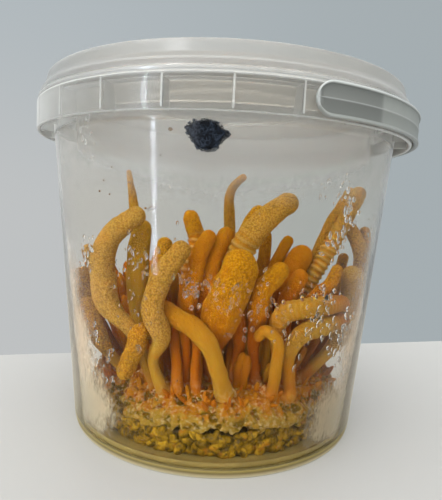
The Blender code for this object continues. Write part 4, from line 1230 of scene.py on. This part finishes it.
class CORDYCEPS_OT_lid(bpy.types.Operator):
    """Make the clear snap lid with its raised rim and plug ring"""
    bl_idname = "cordyceps.lid"
    bl_label = "Lid"

    def execute(self, context):
        s = context.scene.cordyceps_tub
        top = s.lid_top / MM
        section = rounded([
            (0.0, 113.6), (46.0, 113.4), (46.6, 113.9), (48.2, 113.9), (48.8, 113.3), (59.0, 113.3),
            (61.2, top - 0.5), (62.0, top), (63.3, top), (64.1, top - 3.5), (65.2, top - 4.9),
            (66.2, 110.9), (66.2, 110.1), (59.9, 110.1), (59.3, 104.4), (58.2, 104.4), (57.6, 112.2),
            (0.0, 112.5)], 0.35, 3)
        finish = clear_plastic("clear_lid", tuple(s.tint), 1.38, 0.10, s.lid_milkiness, 0.15, LID_HIGHLIGHT_BANDS,
                               LID_FROST)
        lid = fill_mesh("lid_shell", *turned(section, s.steps), finish)
        lid.data.set_sharp_from_angle(angle=SHARP_ANGLE)
        place_piece(lid, "root", "clear_plastic", "lid")
        return {"FINISHED"}


# Section of the handle's band: radius, and height as a share of the half height there.
BAND_SECTION = np.array([
    (68.15, 1.0), (68.45, 0.985), (68.58, 0.95), (68.6, 0.90), (68.55, 0.84), (68.25, 0.80), (68.2, 0.72),
    (68.2, 0.06), (68.3, 0.03), (68.3, -0.03), (68.2, -0.06), (68.2, -0.72), (68.25, -0.80), (68.55, -0.84),
    (68.6, -0.90), (68.58, -0.95), (68.45, -0.985), (68.15, -1.0), (67.35, -1.0), (67.05, -0.96),
    (67.0, -0.85), (67.0, -0.3), (67.0, 0.3), (67.0, 0.85), (67.05, 0.96), (67.35, 1.0)])
BAND_HALF_HEIGHT = 4.4
BAND_FACE = 68.0


def handle_band():
    """The band as a closed tube: its section slides round the collar from end to end.

    The section has a raised rim above and below and a shallow, sunken middle between, parted by a thin rib;
    its half height follows a round end, sqrt(1 - t^2), past each pivot. The marks say where to paint a
    highlight, on the rim, most on its upper edge, on the thin rib and round each end, and where to paint
    shade, in the sunken middle, which ends 14 degrees past each pivot."""
    first, last = PIVOT_AZIMUTHS
    end = math.degrees(BAND_HALF_HEIGHT / 67.0)
    t = np.sin(np.linspace(0.0, math.pi / 2, 15))[1:]
    azimuth = np.concatenate([first - end * t[-2::-1], np.linspace(first, last, 181), last + end * t[:-1]])
    past = np.maximum(first - azimuth, azimuth - last) / end
    half = BAND_HALF_HEIGHT * np.sqrt(1.0 - np.clip(past, 0.0, 0.999) ** 2)
    out = direction(azimuth)
    radius, level = BAND_SECTION.T
    rings = out[:, None] * radius[None, :, None]
    rings[..., 2] = PIVOT_HEIGHT + half[:, None] * level
    along = np.minimum(azimuth - first, last - azimuth)
    recess = (np.abs(level) < 0.83) & (radius > BAND_FACE)
    recess = recess[None] * (1.0 - smoothstep(along, 13.9, 14.4))[:, None]
    # painted highlight: strongest on the rim's upper edge, fainter on its lower edge and the thin rib, full
    # round each end
    edge = smoothstep(np.abs(level), 0.82, 0.90) * (0.35 + 0.65 * (level > 0.0))
    thin_rib = (np.abs(level) < 0.04) * 0.35 * (radius > 68.25)
    rim = np.maximum(np.maximum(edge, thin_rib)[None], smoothstep(past, 0.80, 0.92)[:, None])
    middle = np.array([0.0, 0.0, PIVOT_HEIGHT])
    points, faces = closed_tube(rings, out[0] * 67.8 + middle, out[-1] * 67.8 + middle)
    marks = {**end_marked({"rim": rim * (radius > BAND_FACE)}, 1.0), **end_marked({"recess": recess})}
    return points, faces, marks


class CORDYCEPS_OT_handle(bpy.types.Operator):
    """Make the grey bail handle with its two blind sockets"""
    bl_idname = "cordyceps.handle"
    bl_label = "Handle"

    def execute(self, context):
        s = context.scene.cordyceps_tub
        points, faces, marks = handle_band()
        handle = fill_mesh("handle_band", points, faces, handle_plastic(tuple(s.handle_colour)), marks)
        sockets = [radial_tool(azimuth, PIVOT_HEIGHT, 2.2, 2.2, 66.0, 68.1) for azimuth in PIVOT_AZIMUTHS]
        cut_or_join(handle, joined(sockets), "DIFFERENCE", handle.data.materials[0])
        handle.data.shade_smooth()
        handle.data.set_sharp_from_angle(angle=math.radians(45))
        place_piece(handle, "handle", "grey_plastic", "handle")
        return {"FINISHED"}


# Outline of the wad about the breather's axis: depth outwards from the middle of the wall, half width and
# half height.
WAD_OUTLINE = np.array([
    (-3.9, 0.1, 0.1), (-3.8, 1.9, 1.5), (-3.2, 3.6, 3.0), (-2.4, 4.4, 3.8), (-1.5, 4.2, 3.7),
    (-0.95, 3.6, 3.3), (-0.7, 3.2, 3.2), (0.5, 3.2, 3.2), (0.6, 4.3, 4.0), (0.9, 4.1, 3.8), (1.25, 2.7, 2.5),
    (1.4, 0.1, 0.1)])
# Where it stands out further and where less: angle about the axis, by how much, spread in degrees.
WAD_LOBES = [(160.0, 0.42, 22.0), (8.0, 0.38, 15.0), (128.0, 0.16, 18.0), (212.0, -0.10, 22.0)]


def wad_shape():
    """A wad turned about the breather's own axis: ragged inside, snug in the hole, a frayed tuft outside.

    Width and height are read along the outline, and grow by lobes, each exp(-(da/spread)^2), and by noise
    where the wad is free of the hole. The marks say where it is greyer, outside towards its left and along
    its upper rim, and where its edge frays."""
    depth, wide, high = WAD_OUTLINE.T
    along = np.concatenate([np.linspace(-3.85, 0.48, 44), np.linspace(0.52, 1.39, 30)])
    turn = around(144)
    w = np.interp(along, depth, wide)[:, None]
    h = np.interp(along, depth, high)[:, None]
    local = np.stack([w * np.cos(turn), h * np.sin(turn), along[:, None] * np.ones(144)], axis=-1)
    free = smoothstep(np.abs(local[..., 2]), 0.54, 0.72)
    angle = (np.degrees(turn) + 90.0) % 360.0 - 90.0
    lobe = sum(grows * np.exp(-((angle - centre) / spread) ** 2) for centre, grows, spread in WAD_LOBES)
    ragged = 0.09 * soft_noise(local, 2.0, 3) + 0.12 * soft_noise(local, 0.7, 4)
    local[..., :2] *= (1.0 + free * (ragged + lobe) + 0.02 * soft_noise(local, 0.6, 5))[..., None]
    rim = np.hypot(local[..., 0] / (4.3 * (1.0 + lobe)), local[..., 1] / 4.0)
    outside = smoothstep(local[..., 2], 0.5, 0.6)
    left = smoothstep(-local[..., 0], 0.5, 4.0)
    upper_rim = smoothstep(rim, 0.75, 1.0) * (local[..., 1] > 0.0)
    # greyer outside, towards the left and along the upper rim
    thin = outside * np.clip(0.55 * left + 0.55 * upper_rim, 0.0, 1.0)
    frayed = outside * smoothstep(rim, 0.72, 1.0)
    out = direction(BREATHER_AZIMUTH)
    side = np.array([-out[1], out[0], 0.0])
    centre = out * (tub_inner_radius(BREATHER_HEIGHT) + 0.5) + (0, 0, BREATHER_HEIGHT)
    rings = centre + local[..., :1] * side + local[..., 1:2] * (0, 0, 1) + local[..., 2:] * out
    points, faces = closed_tube(rings, centre + depth[0] * out, centre + depth[-1] * out)
    return points, faces, end_marked({"thin": thin, "frayed": frayed})


class CORDYCEPS_OT_wad(bpy.types.Operator):
    """Make the dark wad of fibre in the breather hole"""
    bl_idname = "cordyceps.wad"
    bl_label = "Breather wad"

    def execute(self, context):
        s = context.scene.cordyceps_tub
        points, faces, marks = wad_shape()
        wad = fill_mesh("breather_wad", points, faces, wad_fibre(tuple(s.wad_colour)), marks)
        place_piece(wad, "root", "blue_wad", "breather_plug")
        return {"FINISHED"}


# Condensation

# Where the film rounds the corner from the wall to the lid's plug ring: radius, height.
PLUG_LINE = np.array([(59.5, 98.6), (59.1, 100.0), (58.6, 101.4), (58.0, 102.8), (57.5, 104.0),
                      (57.25, 105.2), (57.2, 108.0), (57.2, 110.0), (57.2, 111.6), (56.8, 112.0)])
FILM_THICKNESS = 0.04


def fog_shell():
    """A closed film up the wall's inside, rounding the corner to the lid's plug ring, and in under the lid.

    Cover is the sum of soft patches exp(-(da/w)^2 - (dz/h)^2), less towards the middle of the lid. The
    other marks say how streaky the film is, runny in front and even at the back, and how solid."""
    heights = np.linspace(3.2, 97.5, 80)
    wall = np.stack([tub_inner_radius(heights) - 0.10, heights], axis=-1)
    reach = np.linspace(56.0, 3.0, 20)
    under_lid = np.stack([reach, 112.5 - 0.3 * reach / 57.6 - 0.12], axis=-1)
    near = np.concatenate([wall, PLUG_LINE, under_lid])
    ahead = unit(np.gradient(near, axis=0))
    far = near + FILM_THICKNESS * np.stack([-ahead[:, 1], ahead[:, 0]], axis=-1)
    outline = np.concatenate([near, far[::-1]])
    radius, z = outline[:, :1], outline[:, 1:]
    azimuth = azimuths_around(300)
    rings = swept(outline, azimuth)
    faces = [grid_faces(*rings.shape[:2], wrap_rows=True)]
    cover = np.zeros(rings.shape[:2])
    for centre, height, wide, high, strength in FOG_PATCHES:
        turn = (azimuth[None] - centre + 180.0) % 360.0 - 180.0
        cover = cover + strength * np.exp(-(turn / wide) ** 2 - ((z - height) / high) ** 2)
    rear = smoothstep(np.abs(azimuth), 84.0, 100.0)[None]
    high = smoothstep(z, 95.0, 99.0)
    cover *= smoothstep(z, 2.0, 7.0) * smoothstep(radius, 4.0, 44.0) * (1.0 - high * (1.0 - rear))
    marks = {"fog": np.clip(cover, 0.0, 1.3), "streaky": (1.0 - 0.8 * rear) * (1.0 - high),
             "solid": np.where(azimuth < 0.0, 0.58, 0.45) * (1.0 - rear) + (0.15 + 0.65 * high) * rear}
    return rings.reshape(-1, 3), faces, {label: values.ravel() for label, values in marks.items()}


def drop_places(s):
    """Azimuth, height and radius of every drop: the clusters first and then scattered mist."""
    draw = np.random.default_rng(s.seed)
    rows = []
    for azimuth, height, spread, few, largest in DROP_CLUSTERS:
        count = round(few * s.cluster_fill)
        size = 0.9 * largest * draw.uniform(0.3, 1.0, count) ** 1.4
        along, up = draw.normal(0, spread, count), draw.normal(0, spread, count)
        rows.append(np.stack([azimuth + along, height + up, size], axis=-1))
    n = s.mist_drops
    mist = np.stack([draw.uniform(-180, 180, n), draw.triangular(12.0, 45.0, 99.0, n),
                     0.18 + 0.5 * draw.uniform(0, 1, n) ** 3], axis=-1)
    places = np.concatenate(rows + [mist])
    places[:, 1] = np.clip(places[:, 1], 8.0, 101.5)
    return places


def drop_shapes(s):
    """Balls squashed against the wall, each stretched down it by 0.9 to 2.4 and leaning a little."""
    azimuth, height, size = drop_places(s).T
    draw = np.random.default_rng(s.seed + 1)
    tall = draw.uniform(0.9, 2.4, len(size))
    lean = draw.normal(0.0, 0.5, len(size))[:, None]
    out = direction(azimuth)
    side = np.stack([-out[:, 1], out[:, 0], np.zeros(len(out))], axis=-1)
    up = np.array([0.0, 0.0, 1.0])
    frames = np.stack([(np.cos(lean) * side + np.sin(lean) * up) * size[:, None],
                       (np.cos(lean) * up - np.sin(lean) * side) * (size * tall)[:, None],
                       out * (size * 0.5)[:, None]], axis=-1)
    centres = placed_round(azimuth, tub_inner_radius(height) - 0.18 - size * 0.5, height)
    return many(unit_ball(5, 10), frames, centres)


def speck_shapes():
    """Flat specks on the wall."""
    azimuth, height, size = np.array(SPECKS).T
    frames = wall_frames(azimuth, size * 1.3, size, size * 0.3)
    return many(unit_ball(6, 12), frames, placed_round(azimuth, tub_inner_radius(height) - 0.4, height))


class CORDYCEPS_OT_dew(bpy.types.Operator):
    """Make the fog, the drops and the specks on the inside of the wall"""
    bl_idname = "cordyceps.dew"
    bl_label = "Condensation"

    def execute(self, context):
        s = context.scene.cordyceps_dew
        points, faces, marks = fog_shell()
        marks["most"] = np.full(len(points), s.fog_strength)
        film_finish = fog(tuple(s.fog_colour), tuple(s.low_fog_colour))
        for piece in (fill_mesh("condensation_film", points, faces, film_finish, marks),
                      fill_mesh("water_drops", *drop_shapes(s), water()),
                      fill_mesh("spore_specks", *speck_shapes(), dark_speck())):
            place_piece(piece, "root", "liquid")
        return {"FINISHED"}


# Grain, liquid and mycelium

KERNEL_SEED, BUD_SEED, STALK_SEED = 21, 33, 47
CAKE_FLOOR = 2.7
KERNEL_LAYERS = np.array([3.7, 5.3, 7.0, 8.8])
# Sections of the cake's core, of the liquid round its foot and of the mat over it: radius, height.
CAKE_SECTION = [(0.0, CAKE_FLOOR), (43.8, CAKE_FLOOR), (45.2, 4.4), (45.0, 9.2), (44.0, 9.8), (0.0, 9.8)]
LIQUID_SECTION = np.array([(44.6, 2.55), (44.9, 2.95), (46.5, 2.9), (48.3, 3.0), (49.3, 3.2), (50.3, 3.4),
                           (51.0, 3.7), (51.55, 4.5), (51.68, 4.4), (51.62, 3.2), (51.5, 2.7), (51.2, 2.55)])
MAT_SECTION = np.array([(44.6, 8.6), (45.9, 9.8), (46.3, 12.0), (45.8, 14.4), (44.6, 16.4), (42.6, 17.9),
                        (38.0, 18.7), (30.0, 19.9), (20.0, 21.0), (10.0, 21.6), (3.0, 21.8), (0.6, 21.8)])
# Outline of a young stalk: share of its length, share of its thickness.
STALK_OUTLINE = np.array([(0.0, 1.15), (0.15, 0.75), (0.4, 0.72), (0.6, 0.9), (0.78, 1.0), (0.9, 0.85),
                          (0.97, 0.5)])


def random_frames(draw, sizes, out):
    """3x3 frames of ellipsoids that lie against a wall: long axis at any angle along it."""
    n = len(sizes)
    side = np.stack([-out[:, 1], out[:, 0], np.zeros(n)], axis=-1)
    turn = draw.uniform(-0.6, 0.6, n)[:, None] + (draw.uniform(0, 1, n) < 0.35)[:, None] * 1.2
    lean = draw.normal(0, 0.25, n)[:, None]
    long_axis = unit(np.cos(turn) * side + np.sin(turn) * (0.0, 0.0, 1.0) + lean * out)
    short_axis = unit(np.cross(out, long_axis))
    deep_axis = np.cross(long_axis, short_axis)
    return np.stack([long_axis, short_axis, deep_axis], axis=-1) * sizes[:, None]


def grain_cake(s):
    """The cake's core with kernels set into its side in four layers, cut off flat at its foot.

    The marks say how pale each kernel is, and where the core shows in the gaps between them, which is
    darkened as painted shade."""
    draw = np.random.default_rng(KERNEL_SEED)
    n = s.kernels
    sizes = np.stack([s.kernel_length / MM * draw.uniform(0.6, 1.1, n), draw.uniform(1.1, 1.7, n),
                      draw.uniform(0.9, 1.4, n)], axis=-1)
    azimuth = azimuths_around(n) * 7.0 % 360.0 + draw.normal(0, 1.5, n)
    height = KERNEL_LAYERS[np.arange(n) % len(KERNEL_LAYERS)] + draw.normal(0, 0.5, n)
    height = np.maximum(height, 2.75 + sizes[:, 1])
    centres = placed_round(azimuth, 46.1 - draw.uniform(0, 1.3, n), height)
    ball = unit_ball(6, 10)
    kernels = many(ball, random_frames(draw, sizes, direction(azimuth)), centres)
    core = turned(rounded(CAKE_SECTION, 0.6, 3), 144)
    points, faces = joined([core, kernels])
    points[:, 2] = np.maximum(points[:, 2], CAKE_FLOOR)
    tone = np.concatenate([np.full(len(core[0]), 0.25), np.repeat(draw.uniform(0, 1, n), len(ball[0]))])
    gap = 1.0 - smoothstep(np.hypot(points[:, 0], points[:, 1]), 44.8, 46.3)
    return points, faces, {"kernel": tone, "gap": gap}


class CORDYCEPS_OT_grain(bpy.types.Operator):
    """Make the wet grain cake and the liquid round its foot"""
    bl_idname = "cordyceps.grain"
    bl_label = "Grain and liquid"

    def execute(self, context):
        s = context.scene.cordyceps_bed
        points, faces, marks = grain_cake(s)
        olive = np.array(s.olive)
        finish = wet_grain((tuple(olive * 0.33), tuple(olive), tuple(olive * 1.7 + (0.04, 0.04, 0.01))))
        grain = fill_mesh("wet_grain_cake", points, faces, finish, marks)
        place_piece(grain, "root", "grain", "grain_cake")
        rings = swept(LIQUID_SECTION, azimuths_around(240))
        faces = [grid_faces(*rings.shape[:2], wrap_rows=True)]
        pool = fill_mesh("liquid_ring", rings.reshape(-1, 3), faces, liquid((0.80, 0.62, 0.20)))
        place_piece(pool, "root", "liquid", "culture_liquid")
        return {"FINISHED"}


def mat_surface():
    """The mat on a polar grid: its section turned round the axis and pushed out and in by lumps and holes.

    The push is along the section's own normal: broad lumps, sharp-edged folds (1 - |noise|), ragged tufts,
    and pits where the noise is high on the side. Near every root the top rises in a low collar, and the lower
    edge hangs and rises by noise. The marks say where the pits are, where the folds and dents take painted
    shade, and how near a root is."""
    columns, rows = 560, 165
    along = arc_lengths(MAT_SECTION)
    wanted = along[-1] * np.linspace(0.0, 1.0, rows) ** 1.35
    radius, height = (np.interp(wanted, along, values) for values in MAT_SECTION.T)
    azimuth = azimuths_around(columns)
    rings = swept(np.stack([radius, height], axis=-1), azimuth)
    rise, run = np.gradient(height), np.gradient(radius)
    length = np.hypot(rise, run)
    normal = swept(np.stack([rise / length, -run / length], axis=-1), azimuth)
    side = smoothstep(radius, 38.0, 43.0)[:, None]
    pits = smoothstep(soft_noise(rings, 2.6, 8) + 0.6 * soft_noise(rings, 1.3, 9), 0.15, 0.75) * side
    folds = 1.0 - np.abs(soft_noise(rings, 3.2, 12)) * 2.0
    lumps = 0.9 * soft_noise(rings, 4.2, 1) + 0.6 * soft_noise(rings, 1.9, 2)
    lumps = lumps + 0.35 * soft_noise(rings, 0.85, 3)
    tufts = 0.5 * grain_noise(rings, 1.4, 4)
    roots = CLUB_PATHS[:, 0, :2]
    flat = rings[..., :2].reshape(-1, 1, 2)
    apart = np.sqrt(((flat - roots[None]) ** 2).sum(-1)).min(axis=1).reshape(rows, columns)
    push = lumps + tufts + 0.45 * folds - 1.5 * pits
    crease = 1.0 - smoothstep(push, -0.9, 0.7)
    push = push * smoothstep(radius, 0.5, 8.0)[:, None]
    rings = rings + normal * push[..., None]
    rings[..., 2] += 1.5 * np.exp(-(apart / 3.4) ** 2)
    plan = rings * (1.0, 1.0, 0.0)
    low = 10.0 + 2.4 * soft_noise(plan, 5.0, 15) + soft_noise(plan, 1.7, 16)
    rings[..., 2] = np.maximum(rings[..., 2], np.clip(low, 8.2, 13.0))
    reach = np.hypot(rings[..., 0], rings[..., 1])
    rings[..., :2] *= np.minimum(1.0, 47.6 / np.maximum(reach, 1.0))[..., None]
    rust = np.exp(-(apart / 5.0) ** 2) * smoothstep(height, 12.0, 18.0)[:, None]
    fuzz = np.exp(-((apart - 2.6) / 1.2) ** 2) * smoothstep(height, 14.0, 18.0)[:, None]
    points, faces = closed_tube(rings, (0, 0, 9.4), (0, 0, rings[-1, :, 2].mean()))
    return points, faces, end_marked({"hole": pits, "rust": rust, "fuzz": fuzz, "crease": crease})


def on_mat(out, reach, sunk):
    """Places on the mat, each at a reach along its own direction and sunk in a little."""
    place = out * reach[:, None]
    place[:, 2] = mat_height(place[:, 0], place[:, 1]) - sunk
    return place


def upright_frames(up, thick, tall):
    """3x3 frames of shapes that stand along their own up: thick across it and tall along it."""
    side = unit(np.cross(up, (0.3, 0.9, 0.1)))
    sizes = np.stack([thick, thick, tall], axis=-1)
    return np.stack([side, np.cross(up, side), up], axis=-1) * sizes[:, None]


def bud_shapes(s):
    """Small buds on the mat: balls that stand up between the stems, more of them at the edge."""
    draw = np.random.default_rng(BUD_SEED)
    n = s.buds
    out = direction(draw.uniform(-180, 180, n))
    foot = on_mat(out, 43.5 * draw.uniform(0.25, 1.0, n) ** 0.38, 0.4)
    tall = draw.uniform(1.0, 3.8, n)
    thick = draw.uniform(0.5, 1.1, n)
    lean = out * draw.uniform(0.0, 0.9, n)[:, None]
    up = unit((0.0, 0.0, 1.0) + lean + draw.normal(0, 0.25, (n, 3)))
    return many(unit_ball(7, 9), upright_frames(up, thick, tall), foot + up * tall[:, None] * 0.7)


def stalk_shapes(s):
    """Young stalks between the fruit bodies: thin tapered fingers that lean outwards.

    Root, lean and length are drawn at random for eight times as many as are wanted. The first ones are kept
    whose axis, read at 7 points, stays further from every fruit body than 0.6 of the stalk's own radius."""
    draw = np.random.default_rng(STALK_SEED)
    n = 8 * s.stalks
    furthest = 35.0
    out = direction(draw.uniform(-180, 180, n))
    reach = furthest * draw.uniform(0.0, 1.0, n) ** 0.45
    root = on_mat(out, reach, 0.6)
    long = draw.uniform(10.0, 38.0, n)
    thick = draw.uniform(1.1, 2.1, n)
    lean = out * (reach / furthest * draw.uniform(0.05, 0.42, n))[:, None]
    up = unit((0.0, 0.0, 1.0) + lean + draw.normal(0, 0.07, (n, 3)))
    axis = root[:, None] + up[:, None] * (long[:, None] * np.linspace(0.15, 1.0, 7))[..., None]
    clubs = CLUB_PATHS.reshape(-1, 3)
    apart = np.sqrt(((axis[:, :, None] - clubs[None, None]) ** 2).sum(-1)) - CLUB_RADII.reshape(-1)
    clear = apart.min(axis=(1, 2)) - 0.6 * thick > 0.0
    tip = axis[:, -1]
    clear &= np.hypot(tip[:, 0], tip[:, 1]) < tub_inner_radius(tip[:, 2]) - 3.0
    kept = np.nonzero(clear)[0][:s.stalks]
    place, girths = STALK_OUTLINE.T[..., None]
    turn = around(8)
    rings = np.stack([girths * np.cos(turn), girths * np.sin(turn), place * np.ones(8)], axis=-1)
    stalk = closed_tube(rings, (0, 0, 0), (0, 0, 1))
    return many(stalk, upright_frames(up[kept], thick[kept], long[kept]), root[kept])


class CORDYCEPS_OT_mycelium(bpy.types.Operator):
    """Make the mycelium mat and the small buds on it"""
    bl_idname = "cordyceps.mycelium"
    bl_label = "Mycelium"

    def execute(self, context):
        s = context.scene.cordyceps_bed
        clubs = context.scene.cordyceps_clubs
        points, faces, marks = mat_surface()
        olive = tuple(c * 0.62 for c in s.olive)
        finish = mycelium((tuple(s.cream), ORANGE_STAIN, RUST_STAIN, olive, WHITE_FUZZ))
        mat = fill_mesh("mycelium_skin", points, faces, finish, marks)
        place_piece(mat, "root", "mycelium", "mycelium_mat")
        points, faces = joined([bud_shapes(s), stalk_shapes(s)])
        even = {"fertile": 0.3, "grain": 0.6, "pale": 0.0, "foot": 0.0, "tan": 0.0, "crest": 0.0}
        marks = {label: np.full(len(points), value) for label, value in even.items()}
        # painted shade all through the thicket of buds and stalks
        marks["crowd"] = 0.70 + 0.30 * soft_noise(points, 6.0, 2)
        buds = fill_mesh("small_buds", points, faces, flesh("bud_flesh", club_colours(clubs), 0.05), marks)
        place_piece(buds, "root", "club_orange")
        return {"FINISHED"}


# Fruit bodies

def club_colours(s):
    """The flesh's colours: stem, club, painted highlight on the grains, painted shade between close-set clubs
    and in the crevices, and foot.
    """
    return (tuple(s.stem), tuple(s.ochre), tuple(s.bright), tuple(s.deep), tuple(s.rust), WHITISH_FOOT)


def smooth_line(line, width):
    """Even out a line with a moving average whose two ends stay put."""
    if width < 2:
        return line
    kernel = np.hanning(2 * width + 3)[1:-1]
    kernel /= kernel.sum()
    padded = np.concatenate([2 * line[0] - line[width:0:-1], line, 2 * line[-1] - line[-2:-width - 2:-1]])
    return np.stack([np.convolve(padded[:, k], kernel, mode="valid") for k in range(3)], axis=-1)


def club_surface(number, row, path, step):
    """One fruit body as a tube along its settled path.

    The centre line is sampled evenly; its two side directions come from one fixed direction, the one in
    which the path is flattest. Radius is the girth, plus a flare at the foot, plus the rings, ridges and
    broad lumps; grains are then pushed out along the tube's own spokes. The painted shade of close-set clubs
    is a sum of exp(-d^2 / (2 spread^2)) over the other clubs' points, less in front and near the top, where
    the light reaches."""
    start, size, depth, ringed, ridged, pale = CLUB_LOOKS.get(number, PLAIN_LOOK)
    rows = int(arc_lengths(path)[-1] / step)
    columns = int(math.tau * row[1] / step)
    line = smooth_line(smooth_route(path, rows + 1), rows // 24)
    along = arc_lengths(line)
    share = along / along[-1]
    flattest = np.linalg.svd(line - line.mean(axis=0), full_matrices=False)[2][2]
    ahead = unit(np.gradient(line, axis=0))
    side = unit(np.cross(ahead, flattest))
    other = np.cross(ahead, side)
    radius = np.maximum(girth(along, *row[:4]), 0.02)
    turn = around(columns)
    spoke = np.cos(turn)[None, :, None] * side[:, None] + np.sin(turn)[None, :, None] * other[:, None]
    rough = line[:, None] + radius[:, None, None] * spoke
    taper = np.clip(radius / row[1] * 2.0, 0.0, 1.0)[:, None]
    swell = 0.10 * soft_noise(rough, 5.0, number) + 0.045 * soft_noise(rough, 2.2, number + 60)
    total = radius[:, None] * (1.02 + swell * taper)
    total = total + 1.2 * np.exp(-along / 2.8)[:, None] * (1.0 + 0.8 * soft_noise(rough, 1.5, 7))
    fertile = smoothstep(share, start - 0.10, start + 0.10)[:, None] * np.ones(columns)
    crest = np.zeros(total.shape)
    if ringed:
        first, last, pitch, ring_depth = ringed
        window = smoothstep(share, first - 0.04, first + 0.04)
        window = window * (1.0 - smoothstep(share, last - 0.05, last + 0.05))
        wobble = 0.8 * soft_noise(rough, 4.0, number + 9)
        crest = window[:, None] * np.sin(along[:, None] / pitch * math.tau + wobble)
        total = total + ring_depth * crest
        crest = crest * ring_depth / 0.4
        fertile = fertile * (1.0 - 0.7 * window)[:, None]
    if ridged:
        count, ridge_depth, first, last = ridged
        window = smoothstep(share, first, first + 0.08) * (1.0 - smoothstep(share, last - 0.08, last))
        wobble = 1.5 * soft_noise(rough, 6.0, number + 19)
        total = total + (window * ridge_depth)[:, None] * np.cos(count * turn[None] + wobble)
    rings = line[:, None] + total[..., None] * spoke
    grain = grain_noise(rings, size, number * 5)
    fine = grain_noise(rings, size * 0.55, number * 5 + 2)
    relief = 0.95 * depth * (fertile * (0.6 * grain + 0.5 * fine - 0.4) + 0.20 * (fine - 0.4)) * taper
    rings = rings + relief[..., None] * spoke
    rings[0, :, 2] -= 0.8
    others = np.delete(CLUB_PATHS, number - 1, axis=0).reshape(-1, 3)
    gap = ((line[:, None] - others[None]) ** 2).sum(-1)
    # painted shade: strongest where other clubs are near, less in front and near the top
    crowd = smoothstep(np.exp(-gap / (2.0 * CROWD_SPREAD ** 2)).sum(axis=1), 2.0, 11.0)
    crowd = crowd * (1.0 - 0.55 * smoothstep(-line[:, 1], 34.0, 44.0))
    crowd = crowd * (1.0 - 0.6 * smoothstep(line[:, 2], 42.0, 62.0))
    foot = np.exp(-along / 2.6)
    points, faces = closed_tube(rings, line[0] - (0, 0, 1.0), line[-1])
    level = np.ones(total.shape)
    marks = {"fertile": fertile, "grain": 0.25 + 0.75 * grain, "crowd": crowd[:, None] * level,
             "foot": foot[:, None] * level, "pale": pale * level, "tan": CLUB_TANS.get(number, 0.0) * level,
             "crest": crest}
    marks = {label: np.concatenate([values.ravel(), values[0, :1], values[-1, :1]])
             for label, values in marks.items()}
    return points, faces, marks


class CORDYCEPS_OT_clubs(bpy.types.Operator):
    """Make every fruit body with its grains, rings and ridges"""
    bl_idname = "cordyceps.clubs"
    bl_label = "Fruit bodies"

    def execute(self, context):
        s = context.scene.cordyceps_clubs
        finish = flesh("club_flesh", club_colours(s), 0.0)
        for number, (row, path) in enumerate(zip(CLUB_ROWS, CLUB_PATHS), start=1):
            step = s.mesh_step / MM * (1.0 if number <= len(FRONT_CLUBS) else REAR_MESH_STEP)
            points, faces, marks = club_surface(number, row, path, step)
            club = fill_mesh(f"fruit_body_{number:02d}", points, faces, finish, marks)
            place_piece(club, "root", "club_orange", f"club_{number:02d}")
        return {"FINISHED"}


class CORDYCEPS_PT_panel(bpy.types.Panel):
    """Every group of settings with the buttons that make its pieces"""
    bl_idname = "CORDYCEPS_PT_panel"
    bl_label = "Cordyceps tub"
    bl_space_type = "VIEW_3D"
    bl_region_type = "UI"
    bl_category = "Cordyceps"

    def draw(self, context):
        for label, group, operators in PANEL_ROWS:
            box = self.layout.box()
            box.label(text=label)
            settings = getattr(context.scene, group)
            for name in settings.__annotations__:
                box.prop(settings, name)
            for operator in operators:
                box.operator(operator)


PANEL_ROWS = [
    ("Stage", "cordyceps_stage", ["cordyceps.stage"]),
    ("Tub", "cordyceps_tub", ["cordyceps.tub", "cordyceps.lid", "cordyceps.handle", "cordyceps.wad"]),
    ("Condensation", "cordyceps_dew", ["cordyceps.dew"]),
    ("Bed", "cordyceps_bed", ["cordyceps.grain", "cordyceps.mycelium"]),
    ("Fruit bodies", "cordyceps_clubs", ["cordyceps.clubs"]),
]
GROUPS = {
    "cordyceps_tub": TubSettings,
    "cordyceps_dew": DewSettings,
    "cordyceps_bed": BedSettings,
    "cordyceps_clubs": ClubSettings,
    "cordyceps_stage": StageSettings,
}
OPERATORS = [CORDYCEPS_OT_stage, CORDYCEPS_OT_tub, CORDYCEPS_OT_lid, CORDYCEPS_OT_handle, CORDYCEPS_OT_wad,
             CORDYCEPS_OT_dew, CORDYCEPS_OT_grain, CORDYCEPS_OT_mycelium, CORDYCEPS_OT_clubs]


def register():
    """Add the settings, the operators and the panel to Blender."""
    for item in [*GROUPS.values(), *OPERATORS, CORDYCEPS_PT_panel]:
        bpy.utils.register_class(item)
    for label, group in GROUPS.items():
        setattr(bpy.types.Scene, label, PointerProperty(type=group))


def unregister():
    """Take them out again."""
    for label in GROUPS:
        delattr(bpy.types.Scene, label)
    for item in reversed([*GROUPS.values(), *OPERATORS, CORDYCEPS_PT_panel]):
        bpy.utils.unregister_class(item)


def main():
    """Build the stage and every piece."""
    register()
    bpy.ops.cordyceps.stage()
    bpy.ops.cordyceps.tub()
    bpy.ops.cordyceps.lid()
    bpy.ops.cordyceps.handle()
    bpy.ops.cordyceps.wad()
    bpy.ops.cordyceps.dew()
    bpy.ops.cordyceps.grain()
    bpy.ops.cordyceps.mycelium()
    bpy.ops.cordyceps.clubs()


if __name__ == "__main__":
    main()
